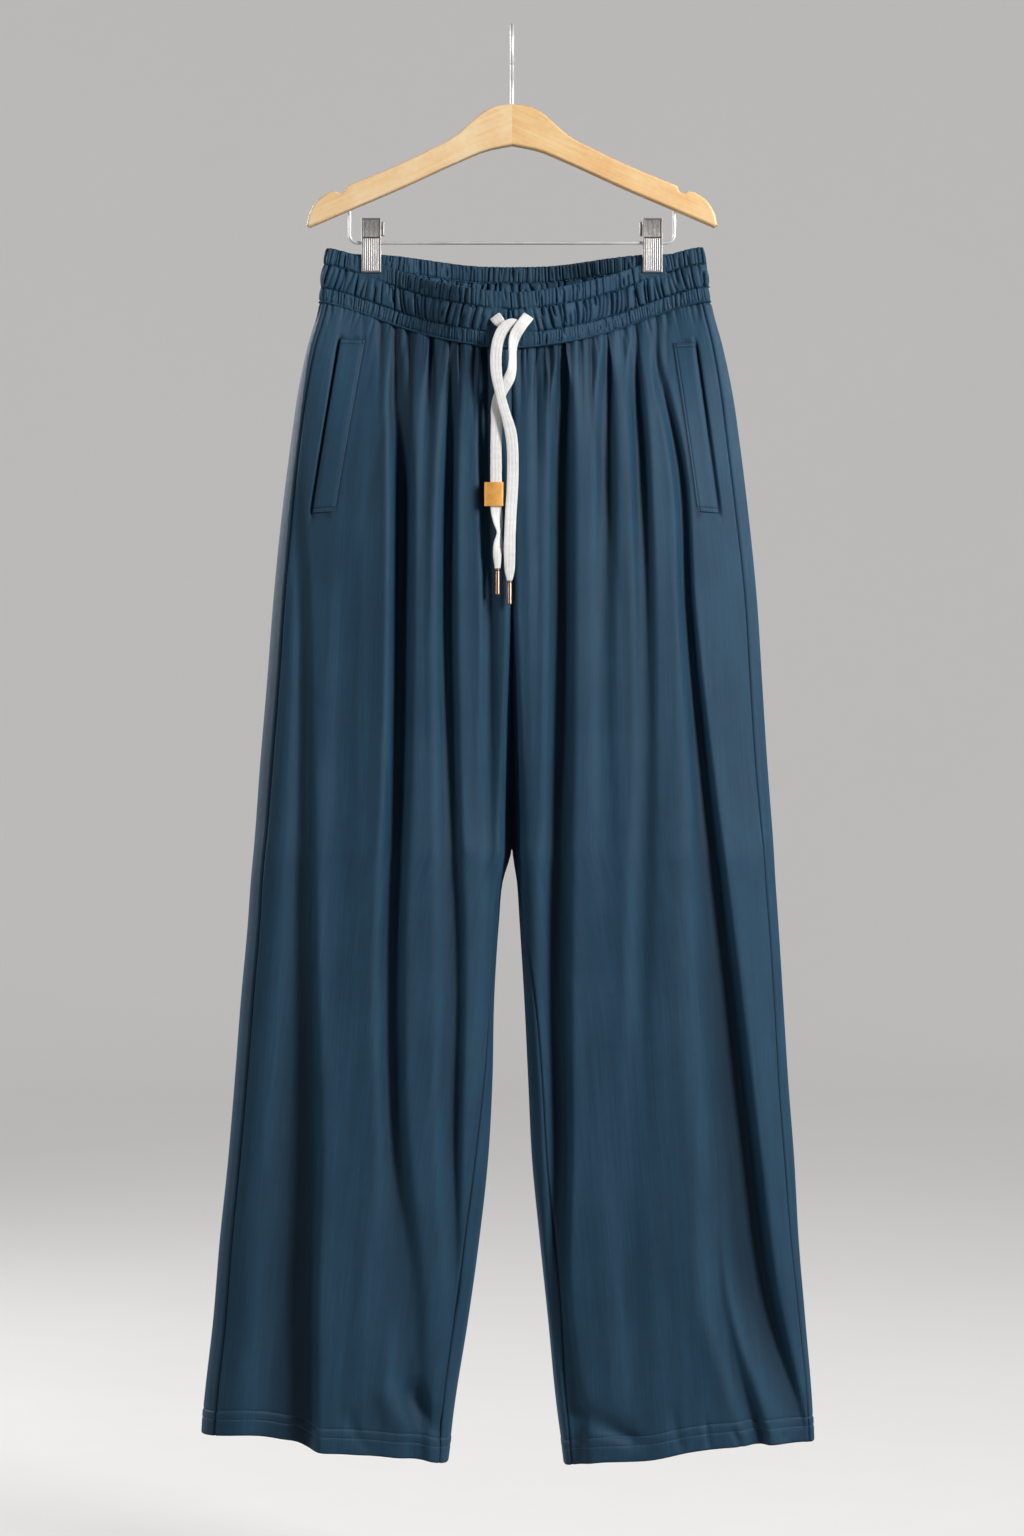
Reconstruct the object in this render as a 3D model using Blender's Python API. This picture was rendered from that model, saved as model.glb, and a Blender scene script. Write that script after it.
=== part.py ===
"""Wide-leg drawstring pants hanging from a wooden clip hanger.

Lengths are in millimetres until a mesh is made, then metres.
The origin is the top of the hook's inside, where it rests on a rail.
+X is the viewer's right, the front of the pants faces -Y and +Z is up.
Left and right in the names are the viewer's left and right.
"""

import math
from collections import namedtuple

import bmesh
import bpy
import numpy as np
from mathutils import Vector
from mathutils.bvhtree import BVHTree

MM = 0.001

# ---------------------------------------------------------------- driving sizes
CLOTH = 1.4             # wall of a leg panel, a knit with its folds ironed soft
BAND_CLOTH = 2.4        # wall of the waistband, two layers over elastic
SEAM_GAP = 0.3          # clear space where two pieces meet
WAIST_GAP = 0.5         # and under the waistband, whose points lie closer together
BAND_HEIGHT = 50.0      # waistband, top edge to waist seam
SIDE_TOP = -197.0       # the waistband's top edge at the sides
BACK_TOP = -201.0       # and between the clips at the back
FRONT_SAG = 47.0        # how much lower the front hangs in the middle
BACK_SAG = 8.0
SAG_SPAN = 176.0        # half the width over which the waist sags
CROTCH = -740.0         # height of the crotch point
FRONT_RISE = 225.0      # height over which the front crotch seam comes forward
BACK_RISE = 255.0
RISE_ROUND = 1.6        # how round the crotch seam is, seen from the side
RISE_POWER = 0.8
TORSO_POWER = 2.3       # roundness of the hips' section, 2 is an ellipse
OUTER_POWER = 2.3       # roundness of a leg's section at its side edge
INNER_POWER = 3.2       # and at its inner edge, which is blunter

CLIP_X = 126.5          # clip centres, left and right of the middle
CLIP_WIDTH = 18.0
CLIP_TOP = -172.0
CLIP_BOTTOM = -220.5
PINCH_FLAT = 10.5       # half width that the jaws hold flat
PINCH_SPREAD = 90.0     # distance over which the band opens again
PINCH_LOW = -226.0      # lowest point held flat
PINCH_END = -410.0      # where the pinch has died out
PRESS_FLAT = 11.5       # half width over which a clip presses the gathers flat
PRESS_SPREAD = 8.0
PRESS_END = -244.0

FRONT_COLUMNS = 30      # two columns to a gather
BACK_COLUMNS = 28
DEPTH_WEIGHT = 0.35     # how much a column's spacing counts depth against width
BAND_GATHERS = 30       # gathers in each half of each waistband piece
GATHER_DEPTH = 2.2      # of the legs' gathers at the waist seam
BAND_GATHER_DEPTH = 1.6
EYELET_X = 15.0         # the drawcords' eyelets, left and right of the middle
EYELET_FLAT = 9.0       # how far round an eyelet the gathers are held flat

CORD_WIDTH = 10.5
CORD_THICK = 2.4
CORD_EDGE = 1.0         # how far in from its edges the braid is fully thick
TIP_RADIUS = 2.3

BAR_RADIUS = 1.5
HOOK_RADIUS = 1.8
HOOK_LOOP = 23.0        # radius of the hook's loop, to the wire's centre
WOOD_THICK = 12.0
WOOD_ROUND = 2.5

# ---------------------------------------------------------------- form of the cloth
# A row for each section: where the leg's side edge and inner edge stand, and
# how far the section reaches forward and back.
Section = namedtuple(
    "Section",
    "height left_side left_inner right_inner right_side front back",
)
SECTIONS = [
    Section(-196, -167.0, 0, 0, 172.0, 50, 40),
    Section(-212, -169.5, 0, 0, 175.0, 50, 40),
    Section(-235, -172.5, 0, 0, 177.0, 49, 40),
    Section(-252, -175.0, 0, 0, 180.5, 48, 41),
    Section(-289, -185.5, 0, 0, 190.5, 46, 43),
    Section(-335, -194.0, 0, 0, 200.0, 46, 46),
    Section(-371, -199.0, 0, 0, 205.0, 46, 48),
    Section(-443, -208.0, 0, 0, 213.5, 47, 50),
    Section(-515, -215.0, 0, 0, 220.5, 48, 51),
    Section(-587, -220.5, 0, 0, 225.0, 48, 51),
    Section(-659, -226.5, 0, 0, 229.5, 47, 50),
    Section(-740, -232.5, 0, 0, 235.5, 46, 48),
    Section(-767, -235.0, -8.0, 4.0, 237.0, 45, 47),
    Section(-803, -237.5, -11.5, 6.5, 239.5, 44, 46),
    Section(-875, -244.0, -16.0, 11.0, 244.0, 43, 45),
    Section(-947, -249.5, -17.5, 14.5, 248.5, 42, 44),
    Section(-1019, -255.5, -21.5, 18.0, 254.0, 41, 43),
    Section(-1091, -263.0, -29.5, 25.0, 258.0, 40, 42),
    Section(-1163, -269.0, -39.5, 32.5, 264.0, 39, 41),
    Section(-1235, -277.0, -51.0, 39.5, 270.0, 38, 40),
    Section(-1292, -281.0, -58.0, 47.0, 272.5, 37, 39),
]

# How far in from the edges the seams lie on the front face.
Inset = namedtuple("Inset", "height left_side right_side left_inner right_inner")
INSETS = [
    Inset(-250, 8.0, 8.5, 0, 0),
    Inset(-335, 9.0, 12.0, 0, 0),
    Inset(-515, 11.5, 11.5, 0, 0),
    Inset(-740, 11.5, 10.0, 0, 0),
    Inset(-790, 12.0, 9.5, 1.2, 3.0),
    Inset(-875, 12.5, 9.0, 3.0, 9.5),
    Inset(-1026, 12.0, 9.5, 11.5, 13.5),
    Inset(-1110, 12.5, 7.0, 13.0, 13.5),
    Inset(-1235, 13.0, 5.0, 10.0, 9.0),
    Inset(-1292, 13.5, 5.0, 7.0, 7.0),
]

# The folds that hang from the gathers: the valley's place and depth at five
# heights, with half widths at the top and the bottom.
FOLD_HEIGHTS = (-295, -515, -740, -1000, -1270)
Fold = namedtuple("Fold", "places depths top_width low_width")
FRONT_FOLDS = [
    Fold((-188, -187, -185, -186, -196), (0, 4, 7, 9, 11), 9, 13),
    Fold((-131, -129, -144, -140, -118), (4, 3, 3, 2, 4), 9, 20),
    Fold((-91, -96, -102, -99, -81), (9, 14, 13, 11, 9), 9, 15),
    Fold((-48, -54, -51, -51, -53), (8, 12, 9, 7, 3), 8, 15),
    Fold((-26, -20, -22, -24, -30), (6, 8, 4, 0, 0), 7, 10),
    Fold((23, 19.5, 20, 22, 30), (6, 6, 2, 0, 0), 7, 10),
    Fold((50, 45, 46, 42, 66), (9, 14, 13, 11, 8), 9, 15),
    Fold((83, 84, 95, 100, 105), (7, 8, 2, 0, 0), 8, 14),
    Fold((111, 121, 121, 113, 108), (7, 10, 9, 6, 4), 8, 17),
    Fold((138, 157, 177, 200, 252), (6, 9, 10, 9, 4), 8, 16),
    Fold((150, 160, 165, 172, 205), (0, 0, 0, 1, 6), 8, 15),
]
BACK_FOLDS = [
    Fold((-150, -160, -168, -172, -190), (6, 8, 8, 7, 9), 9, 15),
    Fold((-108, -116, -128, -126, -138), (8, 11, 10, 8, 5), 9, 16),
    Fold((-70, -74, -82, -86, -92), (7, 9, 9, 10, 8), 9, 16),
    Fold((-34, -38, -40, -44, -60), (8, 10, 6, 2, 0), 8, 13),
    Fold((30, 33, 38, 44, 60), (8, 10, 6, 2, 0), 8, 13),
    Fold((72, 78, 84, 80, 86), (7, 10, 10, 9, 9), 9, 16),
    Fold((112, 118, 132, 140, 146), (8, 9, 8, 6, 4), 9, 16),
    Fold((154, 166, 176, 182, 206), (6, 9, 9, 9, 9), 9, 15),
]

# The hem's lower edge, from its outer end to its inner end.
Hem = namedtuple("Hem", "place height")
LEFT_HEM = [
    Hem(-281, -1263), Hem(-222, -1261), Hem(-190, -1266), Hem(-180, -1271),
    Hem(-150, -1276), Hem(-90, -1281.5), Hem(-58, -1288),
]
RIGHT_HEM = [
    Hem(47, -1290), Hem(74, -1285), Hem(122, -1282), Hem(162, -1274),
    Hem(220, -1269), Hem(272.5, -1270),
]

# Levels of a panel's rows between the waist seam and the hem.
PANEL_LEVELS = (-330, -400, -490, -590, -670, -715, CROTCH, -775, -850, -970, -1090, -1190)

# Waistband rows, top to bottom: share of the height, how far the cloth
# stands proud there, and the share of the gathers' depth.
BandRow = namedtuple("BandRow", "share puff gather")
BAND_ROWS = [
    BandRow(0.0, 0.3, 1.0),
    BandRow(0.31, 0.0, 0.6),
    BandRow(0.51, 2.2, 1.0),
    BandRow(0.72, 0.0, 0.6),
    BandRow(1.0, 0.0, 1.0),
]

# The pocket welts' corners on the front face.
Welt = namedtuple("Welt", "top low top_open low_open top_stitched low_stitched")
WELTS = {
    "left": Welt(-284, -437, -152.5, -176.5, -132.0, -156.5),
    "right": Welt(-285, -437, 161.5, 182.0, 143.0, 162.5),
}
WELT_CLOTH = 1.3
WELT_LIFT = 0.75        # clear space under a welt, over the panel's flat faces

# The drawcords' routes: middle of the ribbon, the turn of its flat face about
# its length in degrees, 0 facing the viewer, and its width as a share of the
# full one. The left cord starts at the left eyelet, folds back behind the right
# cord, crosses over it and ends as the right-hand tail.
CordPoint = namedtuple("CordPoint", "x y z turn width")
CORD_LEFT = [
    CordPoint(-15.2, -49.4, -266.0, 0, 1.0),
    CordPoint(-12.4, -51.8, -269.8, 0, 1.0),
    CordPoint(-8.2, -53.0, -274.2, 0, 0.75),
    CordPoint(-3.0, -53.3, -277.8, 0, 0.45),
    CordPoint(2.0, -53.4, -279.6, 0, 0.38),
    CordPoint(6.2, -54.1, -278.6, 0, 0.36),
    CordPoint(7.4, -55.2, -275.6, 0, 0.36),
    CordPoint(5.4, -56.2, -273.0, 0, 0.42),
    CordPoint(1.0, -57.0, -272.6, 0, 0.7),
    CordPoint(-4.0, -57.5, -274.9, 0, 0.9),
    CordPoint(-8.6, -57.9, -280.2, 0, 1.0),
    CordPoint(-12.0, -58.3, -288.0, 0, 1.0),
    CordPoint(-13.9, -58.7, -298.0, 0, 1.0),
    CordPoint(-14.3, -58.9, -309.0, 0, 1.0),
    CordPoint(-13.3, -59.1, -321.0, 0, 0.95),
    CordPoint(-11.2, -59.3, -333.0, 0, 0.85),
    CordPoint(-8.2, -59.3, -345.0, 0, 0.85),
    CordPoint(-4.8, -58.9, -356.5, 0, 0.9),
    CordPoint(-1.6, -58.3, -368.0, 0, 1.0),
    CordPoint(0.2, -57.7, -381.0, 0, 1.0),
    CordPoint(0.7, -57.2, -398.0, 0, 1.0),
    CordPoint(0.2, -56.8, -420.0, 5, 1.0),
    CordPoint(-1.0, -56.4, -440.0, 10, 1.0),
    CordPoint(-1.9, -56.0, -460.0, 8, 1.0),
    CordPoint(-2.2, -55.7, -480.0, 0, 0.98),
    CordPoint(-2.1, -55.5, -492.0, 0, 0.85),
    CordPoint(-2.1, -55.5, -500.3, 0, 0.5),
]
CORD_RIGHT = [
    CordPoint(14.6, -49.4, -266.0, 0, 1.0),
    CordPoint(12.9, -53.8, -268.6, 0, 1.0),
    CordPoint(9.9, -58.2, -272.8, 0, 1.0),
    CordPoint(6.8, -59.9, -277.4, 0, 1.0),
    CordPoint(3.7, -60.1, -282.6, 10, 1.0),
    CordPoint(1.5, -59.7, -289.0, 32, 1.0),
    CordPoint(0.6, -58.9, -297.0, 48, 1.0),
    CordPoint(0.5, -57.8, -306.5, 48, 1.0),
    CordPoint(-0.4, -56.6, -315.5, 36, 1.0),
    CordPoint(-3.2, -55.4, -323.0, 14, 1.0),
    CordPoint(-7.4, -54.7, -330.0, 0, 1.0),
    CordPoint(-11.2, -54.3, -337.5, 0, 1.0),
    CordPoint(-13.4, -54.1, -347.0, 0, 1.0),
    CordPoint(-13.6, -54.0, -360.0, 0, 1.0),
    CordPoint(-14.0, -53.9, -378.0, 0, 1.0),
    CordPoint(-14.1, -53.9, -398.0, 0, 1.0),
    CordPoint(-14.1, -53.9, -424.0, 0, 1.0),
    CordPoint(-13.8, -53.9, -438.0, 8, 1.0),
    CordPoint(-12.4, -53.9, -449.0, 40, 1.0),
    CordPoint(-11.2, -53.9, -458.0, 66, 1.0),
    CordPoint(-12.2, -53.9, -467.0, 40, 0.95),
    CordPoint(-12.9, -53.9, -477.0, 10, 0.8),
    CordPoint(-12.8, -53.9, -489.7, 0, 0.5),
]
CORD_STEPS = 54
TIP_LENGTH = {"left": 21.0, "right": 23.0}
TAB_TOP = -413.4
TAB_LOW = -434.5
TAB_LEFT = -24.4
TAB_WALL = 1.3

# The hanger's left arm, seen from the front: its outline from the middle.
ArmPoint = namedtuple("ArmPoint", "x z")
ARM_TOP = [
    ArmPoint(0, -69.3), ArmPoint(-9, -70), ArmPoint(-18, -72), ArmPoint(-27, -77),
    ArmPoint(-36, -84.6), ArmPoint(-53, -99), ArmPoint(-73, -109.5),
    ArmPoint(-99, -122), ArmPoint(-124, -132.8), ArmPoint(-148, -143),
    ArmPoint(-150.5, -146.7), ArmPoint(-154.3, -149.4), ArmPoint(-158.4, -147.2),
    ArmPoint(-164.7, -148.5), ArmPoint(-174.6, -155.7), ArmPoint(-181.8, -167),
    ArmPoint(-184.5, -178),
]
ARM_LOW = [
    ArmPoint(-182, -179.6), ArmPoint(-149.5, -165.6), ArmPoint(-99, -144),
    ArmPoint(-48.5, -121), ArmPoint(-23.4, -110.7), ArmPoint(0, -105.8),
]

BAR_X = 146.2           # where the bar's uprights stand
BAR_Z = -193.5
BAR_BEND = 7.5
BAR_TOP = -165.2        # where the uprights enter the wood

# A jaw's profile: height, distance of its inner and outer face from the bar's
# plane. It is open round the bar and closed on the cloth.
JawRow = namedtuple("JawRow", "height inner outer")
JAW_ROWS = [
    JawRow(CLIP_TOP, 5.2, 6.6),
    JawRow(-182.0, 2.6, 5.0),
    JawRow(-190.5, 1.9, 4.4),
    JawRow(-193.5, 1.9, 4.4),
    JawRow(-196.5, 1.9, 4.4),
    JawRow(-201.0, 2.95, 4.6),
    JawRow(-214.0, 2.95, 4.5),
    JawRow(CLIP_BOTTOM, 2.95, 4.3),
]


# ---------------------------------------------------------------- curves through tables
def smooth_at(places, values, wanted):
    """Values at the wanted places, on a smooth curve through the table."""
    x = np.asarray(places, float)
    v = np.asarray(values, float)
    if x[0] > x[-1]:
        x = x[::-1]
        v = v[::-1]
    p = np.clip(np.asarray(wanted, float), x[0], x[-1])
    slope = np.gradient(v, x)
    i = np.clip(np.searchsorted(x, p) - 1, 0, len(x) - 2)
    step = x[i + 1] - x[i]
    t = (p - x[i]) / step
    return (
        (2 * t**3 - 3 * t**2 + 1) * v[i]
        + (t**3 - 2 * t**2 + t) * step * slope[i]
        + (3 * t**2 - 2 * t**3) * v[i + 1]
        + (t**3 - t**2) * step * slope[i + 1]
    )


def column_at(table, column, z):
    """One column of a table of heights, read at the heights z."""
    return smooth_at([row.height for row in table], [getattr(row, column) for row in table], z)


def soft_step(t):
    """0 to 1 with soft ends as t goes from 0 to 1."""
    t = np.clip(t, 0.0, 1.0)
    return t * t * (3 - 2 * t)


# ---------------------------------------------------------------- the cloth's surface
def rise(z, height):
    """0 at the crotch and below, 1 where the crotch seam reaches the face."""
    t = np.clip((z - CROTCH) / height, 0.0, 1.0)
    return (1 - (1 - t) ** RISE_ROUND) ** RISE_POWER


def fold_depth(folds, x, z):
    """How far the folds go in at x, z: valleys, with low ridges beside them."""
    total = np.zeros_like(x)
    for fold in folds:
        place = smooth_at(FOLD_HEIGHTS, fold.places, z)
        depth = np.clip(smooth_at(FOLD_HEIGHTS, fold.depths, z), 0, None)
        down = soft_step((FOLD_HEIGHTS[0] - z) / (FOLD_HEIGHTS[0] - FOLD_HEIGHTS[-1]))
        width = fold.top_width + (fold.low_width - fold.top_width) * down
        t = (x - place) / width
        total += depth * (np.exp(-t * t) - 0.35 * np.exp(-t * t / 5))
    return total


def pinch(x, z):
    """1 where the clips hold front and back together, 0 away from them."""
    off = np.abs(np.abs(x) - CLIP_X) - PINCH_FLAT
    near = 1 - soft_step(off / PINCH_SPREAD)
    low = 1 - soft_step((PINCH_LOW - z) / (PINCH_LOW - PINCH_END))
    return near * low


def press(x, z):
    """1 where a clip presses the gathers flat, 0 where they stand up."""
    off = np.abs(np.abs(x) - CLIP_X) - PRESS_FLAT
    low = 1 - soft_step((PINCH_LOW - z) / (PINCH_LOW - PRESS_END))
    return (1 - soft_step(off / PRESS_SPREAD)) * low


def cloth_point(side, angle, z, folded=True):
    """A point of the outer surface on one leg, and of the hips above it.

    The angle goes round the leg: 0 at the side edge, pi at the inner edge or
    middle seam, positive over the front and negative over the back.
    """
    angle, z = np.broadcast_arrays(np.asarray(angle, float), np.asarray(z, float))
    sign = -1.0 if side == "left" else 1.0
    edge = column_at(SECTIONS, side + "_side", z)
    inner = np.where(z >= CROTCH, 0.0, column_at(SECTIONS, side + "_inner", z))
    is_front = np.sin(angle) >= 0
    reach = np.where(is_front, column_at(SECTIONS, "front", z), column_at(SECTIONS, "back", z))
    hips = np.where(is_front, rise(z, FRONT_RISE), rise(z, BACK_RISE))
    across = np.cos(angle)
    power = np.where(across > 0, OUTER_POWER, INNER_POWER)
    leg_x = (edge + inner) / 2 + (edge - inner) / 2 * across
    leg_y = (1 - np.abs(across) ** power) ** (1 / power)
    quarter = np.clip(np.abs(angle) / 2, 0, math.pi / 2)
    hip_x = edge * np.cos(quarter)
    hip_y = (1 - np.cos(quarter) ** TORSO_POWER) ** (1 / TORSO_POWER)
    x = (1 - hips) * leg_x + hips * hip_x
    depth = reach * ((1 - hips) * leg_y + hips * hip_y)
    held = pinch(x, z)
    depth = depth * (1 - held) + (BAND_CLOTH + SEAM_GAP / 2) * held
    if folded:
        room = 1 - np.exp(-((depth / 16) ** 2))
        front = fold_depth(FRONT_FOLDS, x, z)
        back = fold_depth(BACK_FOLDS, x, z)
        depth = depth - np.where(is_front, front, back) * room * (1 - held)
    y = np.where(is_front, -depth, depth)
    return np.stack([x, y, z], axis=-1)


def outward(point_at, angle, z, sign):
    """Unit normals of a surface, by small steps round it and down it."""
    turn = 0.012
    drop = 1.5
    limit = np.where(z >= CROTCH, math.pi, 2 * math.pi)
    after = np.clip(angle + turn, -limit, limit)
    before = np.clip(angle - turn, -limit, limit)
    round_it = point_at(after, z) - point_at(before, z)
    down_it = point_at(angle, z - drop) - point_at(angle, z + drop)
    normal = np.cross(round_it, down_it) * sign
    return normal / np.linalg.norm(normal, axis=-1, keepdims=True)


def side_angle(side, z):
    """The side seam's angle, a little forward of the leg's edge."""
    edge = np.abs(column_at(SECTIONS, side + "_side", z))
    inner = np.abs(column_at(SECTIONS, side + "_inner", z))
    inset = column_at(INSETS, side + "_side", z)
    leg = np.arccos(1 - 2 * inset / (edge - inner))
    hips = 2 * np.arccos(1 - inset / edge)
    share = rise(z, FRONT_RISE)
    return (1 - share) * leg + share * hips


def inseam_angle(side, z):
    """How far short of the inner edge the inseam lies, on the front face."""
    edge = np.abs(column_at(SECTIONS, side + "_side", z))
    inner = np.abs(column_at(SECTIONS, side + "_inner", z))
    inset = np.clip(column_at(INSETS, side + "_inner", z), 0, None)
    return np.where(z >= CROTCH, 0.0, np.arccos(1 - 2 * inset / (edge - inner)))


def waist_sag(depth, x):
    """How much lower the waist hangs at x, for its sag in the middle."""
    return depth * np.cos(np.clip(np.abs(x) / SAG_SPAN, 0, 1) * math.pi / 2) ** 1.6


def band_line(side, angle, below):
    """Height of a line round the waistband, so far below its top edge.

    The line's height depends on x and x on the height, so it is closed in on.
    """
    z = np.full(np.shape(angle), SIDE_TOP - below)
    is_front = np.sin(angle) >= 0
    for _ in range(4):
        x = cloth_point(side, angle, z, folded=False)[..., 0]
        front = SIDE_TOP - waist_sag(FRONT_SAG, x)
        back = BACK_TOP - waist_sag(BACK_SAG, x)
        at_side = soft_step((np.abs(x) - 120) / 50)
        back = back * (1 - at_side) + front * at_side
        z = np.where(is_front, front, back) - below
    return z


def hem_height(side, x):
    """Height of the hem's lower edge."""
    table = LEFT_HEM if side == "left" else RIGHT_HEM
    return smooth_at([row.place for row in table], [row.height for row in table], x)


# ---------------------------------------------------------------- making meshes
def clear_scene():
    for old in list(bpy.data.objects):
        bpy.data.objects.remove(old)


def make_material(name, colour, roughness, metallic=0.0):
    material = bpy.data.materials.new(name)
    material.use_nodes = True
    shader = material.node_tree.nodes["Principled BSDF"]
    shader.inputs["Base Color"].default_value = (*colour, 1.0)
    shader.inputs["Roughness"].default_value = roughness
    shader.inputs["Metallic"].default_value = metallic
    return material


def link_object(name, data, material):
    data.materials.append(material)
    made = bpy.data.objects.new(name, data)
    bpy.context.scene.collection.objects.link(made)
    return made


def finish_mesh(name, bm, material, sharp=26.0):
    """Turn a bmesh into a named object, shaded smooth but for sharp edges."""
    bmesh.ops.recalc_face_normals(bm, faces=bm.faces)
    mesh = bpy.data.meshes.new(name)
    bm.to_mesh(mesh)
    bm.free()
    mesh.shade_smooth()
    mesh.set_sharp_from_angle(angle=math.radians(sharp))
    return link_object(name, mesh, material)


def cloth_wall(outer, inner):
    """A closed wall: a grid with its points placed, and extruded to its inside."""
    rows, columns, _ = outer.shape
    bm = bmesh.new()
    bmesh.ops.create_grid(bm, x_segments=columns - 1, y_segments=rows - 1, size=1.0)
    place = bm.verts.layers.int.new("place")
    flat_outer = outer.reshape(-1, 3) * MM
    flat_inner = inner.reshape(-1, 3) * MM
    for index, vert in enumerate(bm.verts):
        vert[place] = index
        vert.co = Vector(flat_outer[index])
    grown = bmesh.ops.extrude_face_region(bm, geom=list(bm.faces))
    for item in grown["geom"]:
        if isinstance(item, bmesh.types.BMVert):
            item.co = Vector(flat_inner[item[place]])
    return bm


# ---------------------------------------------------------------- panels
def panel_ends(side, is_front, z):
    """Angles of a panel's two long edges at the heights z, inside the gaps."""
    start = side_angle(side, z)
    inset = inseam_angle(side, z)
    end = np.where(is_front, math.pi - inset, -math.pi - inset)
    gap = SEAM_GAP / 2
    edge = np.abs(column_at(SECTIONS, side + "_side", z))
    start_step = gap / (0.5 * edge * np.sin(start))
    end_step = np.where(inset > 0.12, gap / (0.5 * edge * np.sin(np.maximum(inset, 0.12))), 0.004)
    sign = 1.0 if is_front else -1.0
    return start + sign * start_step, end - sign * np.where(z >= CROTCH, 0.0, end_step)


def panel_angles(side, is_front, share, z):
    """Angles of the columns, spaced so that they run nearly straight down."""
    share, z = np.broadcast_arrays(share, np.asarray(z, float))
    start, end = panel_ends(side, is_front, z)
    fine = np.linspace(0, 1, 81)
    tried = start[..., None] + (end - start)[..., None] * fine
    points = cloth_point(side, tried, z[..., None], folded=False)
    moved = np.abs(np.diff(points, axis=-2))
    path = np.cumsum(moved[..., 0] + DEPTH_WEIGHT * moved[..., 1], axis=-1)
    angles = np.zeros(z.shape)
    for place in np.ndindex(z.shape):
        track = np.concatenate([[0.0], path[place]])
        angles[place] = np.interp(share[place] * track[-1], track, tried[place])
    return angles


def panel_surfaces(side, is_front, columns):
    """Outer and inner points of one leg panel, rows from waist to hem."""
    share = np.linspace(0, 1, columns + 1)
    sign = -1.0 if side == "left" else 1.0
    top = band_line(side, panel_angles(side, is_front, share, -262.0), BAND_HEIGHT + WAIST_GAP)
    low_x = cloth_point(side, panel_angles(side, is_front, share, -1275.0), -1275.0)[..., 0]
    heights = [top]
    heights += [np.full(columns + 1, float(level)) for level in PANEL_LEVELS]
    heights.append(hem_height(side, low_x))
    z = np.array(heights)
    angle = panel_angles(side, is_front, share[None, :], z)
    gather_sign = np.where(np.arange(columns + 1) % 2 == 0, -1.0, 1.0)
    fade = soft_step((z + 470) / 210)

    def surface(a, h):
        return cloth_point(side, a, h)

    plain = surface(angle, z)
    normal = outward(surface, angle, z, sign)
    inner = plain - normal * CLOTH
    room = 1 - press(plain[..., 0], z)
    pocket = 1 - 0.6 * soft_step((np.abs(plain[..., 0]) - 120) / 25) * (plain[..., 1] < 0)
    raised = GATHER_DEPTH / 2 * (1 + gather_sign) * fade * room * pocket
    outer = plain + normal * raised[..., None]
    for points in (outer, inner):
        points[..., 0] = keep_off_middle(points[..., 0], sign, z)
    return outer, inner


def keep_off_middle(x, sign, z):
    """Above the crotch, hold the middle seam's half gap."""
    gap = SEAM_GAP / 2
    return np.where(z >= CROTCH - 1, sign * np.maximum(np.abs(x), gap), x)


def make_panel(side, is_front, material):
    columns = FRONT_COLUMNS if is_front else BACK_COLUMNS
    outer, inner = panel_surfaces(side, is_front, columns)
    name = ("front_" if is_front else "back_") + side
    bm = cloth_wall(outer, inner)
    tree = BVHTree.FromBMesh(bm)
    finish_mesh(name, bm, material)
    return tree


# ---------------------------------------------------------------- waistband
def even_angles(side, is_front, z, count):
    """Angles spaced evenly by length from the side edge to the middle."""
    fine = np.linspace(0, math.pi, 400) * (1 if is_front else -1)
    points = cloth_point(side, fine, z, folded=False)
    steps = np.linalg.norm(np.diff(points, axis=0), axis=1)
    length = np.concatenate([[0], np.cumsum(steps)])
    wanted = np.linspace(0, length[-1], count + 1)
    wanted[0] = SEAM_GAP / 2
    return np.interp(wanted, length, fine)


def band_half(side, is_front):
    """Outer and inner points of half a waistband piece, from side to middle."""
    sign = -1.0 if side == "left" else 1.0
    columns = BAND_GATHERS * 2
    angle = even_angles(side, is_front, -235.0, columns)
    top = band_line(side, angle, 0.0)
    low = band_line(side, angle, BAND_HEIGHT)
    share = np.array([row.share for row in BAND_ROWS])[:, None]
    puff = np.array([row.puff for row in BAND_ROWS])[:, None]
    gather = np.array([row.gather for row in BAND_ROWS])[:, None]
    z = top + (low - top) * share

    def surface(a, h):
        return cloth_point(side, a, h, folded=False)

    angles = np.broadcast_to(angle, z.shape)
    plain = surface(angles, z)
    normal = outward(surface, angles, z, sign)
    inner = plain - normal * BAND_CLOTH
    wave = (1 + (-1.0) ** np.arange(columns + 1)) / 2
    free = 1 - press(plain[..., 0], z)
    if is_front:
        free = free * (1 - np.exp(-(((np.abs(plain[..., 0]) - EYELET_X) / EYELET_FLAT) ** 2)))
    raised = (puff + BAND_GATHER_DEPTH * gather * wave[None, :]) * free
    outer = plain + normal * raised[..., None]
    return outer, inner


def make_waistband(is_front, material):
    """Both halves as one piece, with the middle column shared."""
    left_outer, left_inner = band_half("left", is_front)
    right_outer, right_inner = band_half("right", is_front)
    outer = np.concatenate([left_outer, right_outer[:, -2::-1]], axis=1)
    inner = np.concatenate([left_inner, right_inner[:, -2::-1]], axis=1)
    name = "waistband_front" if is_front else "waistband_back"
    finish_mesh(name, cloth_wall(outer, inner), material)


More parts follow.
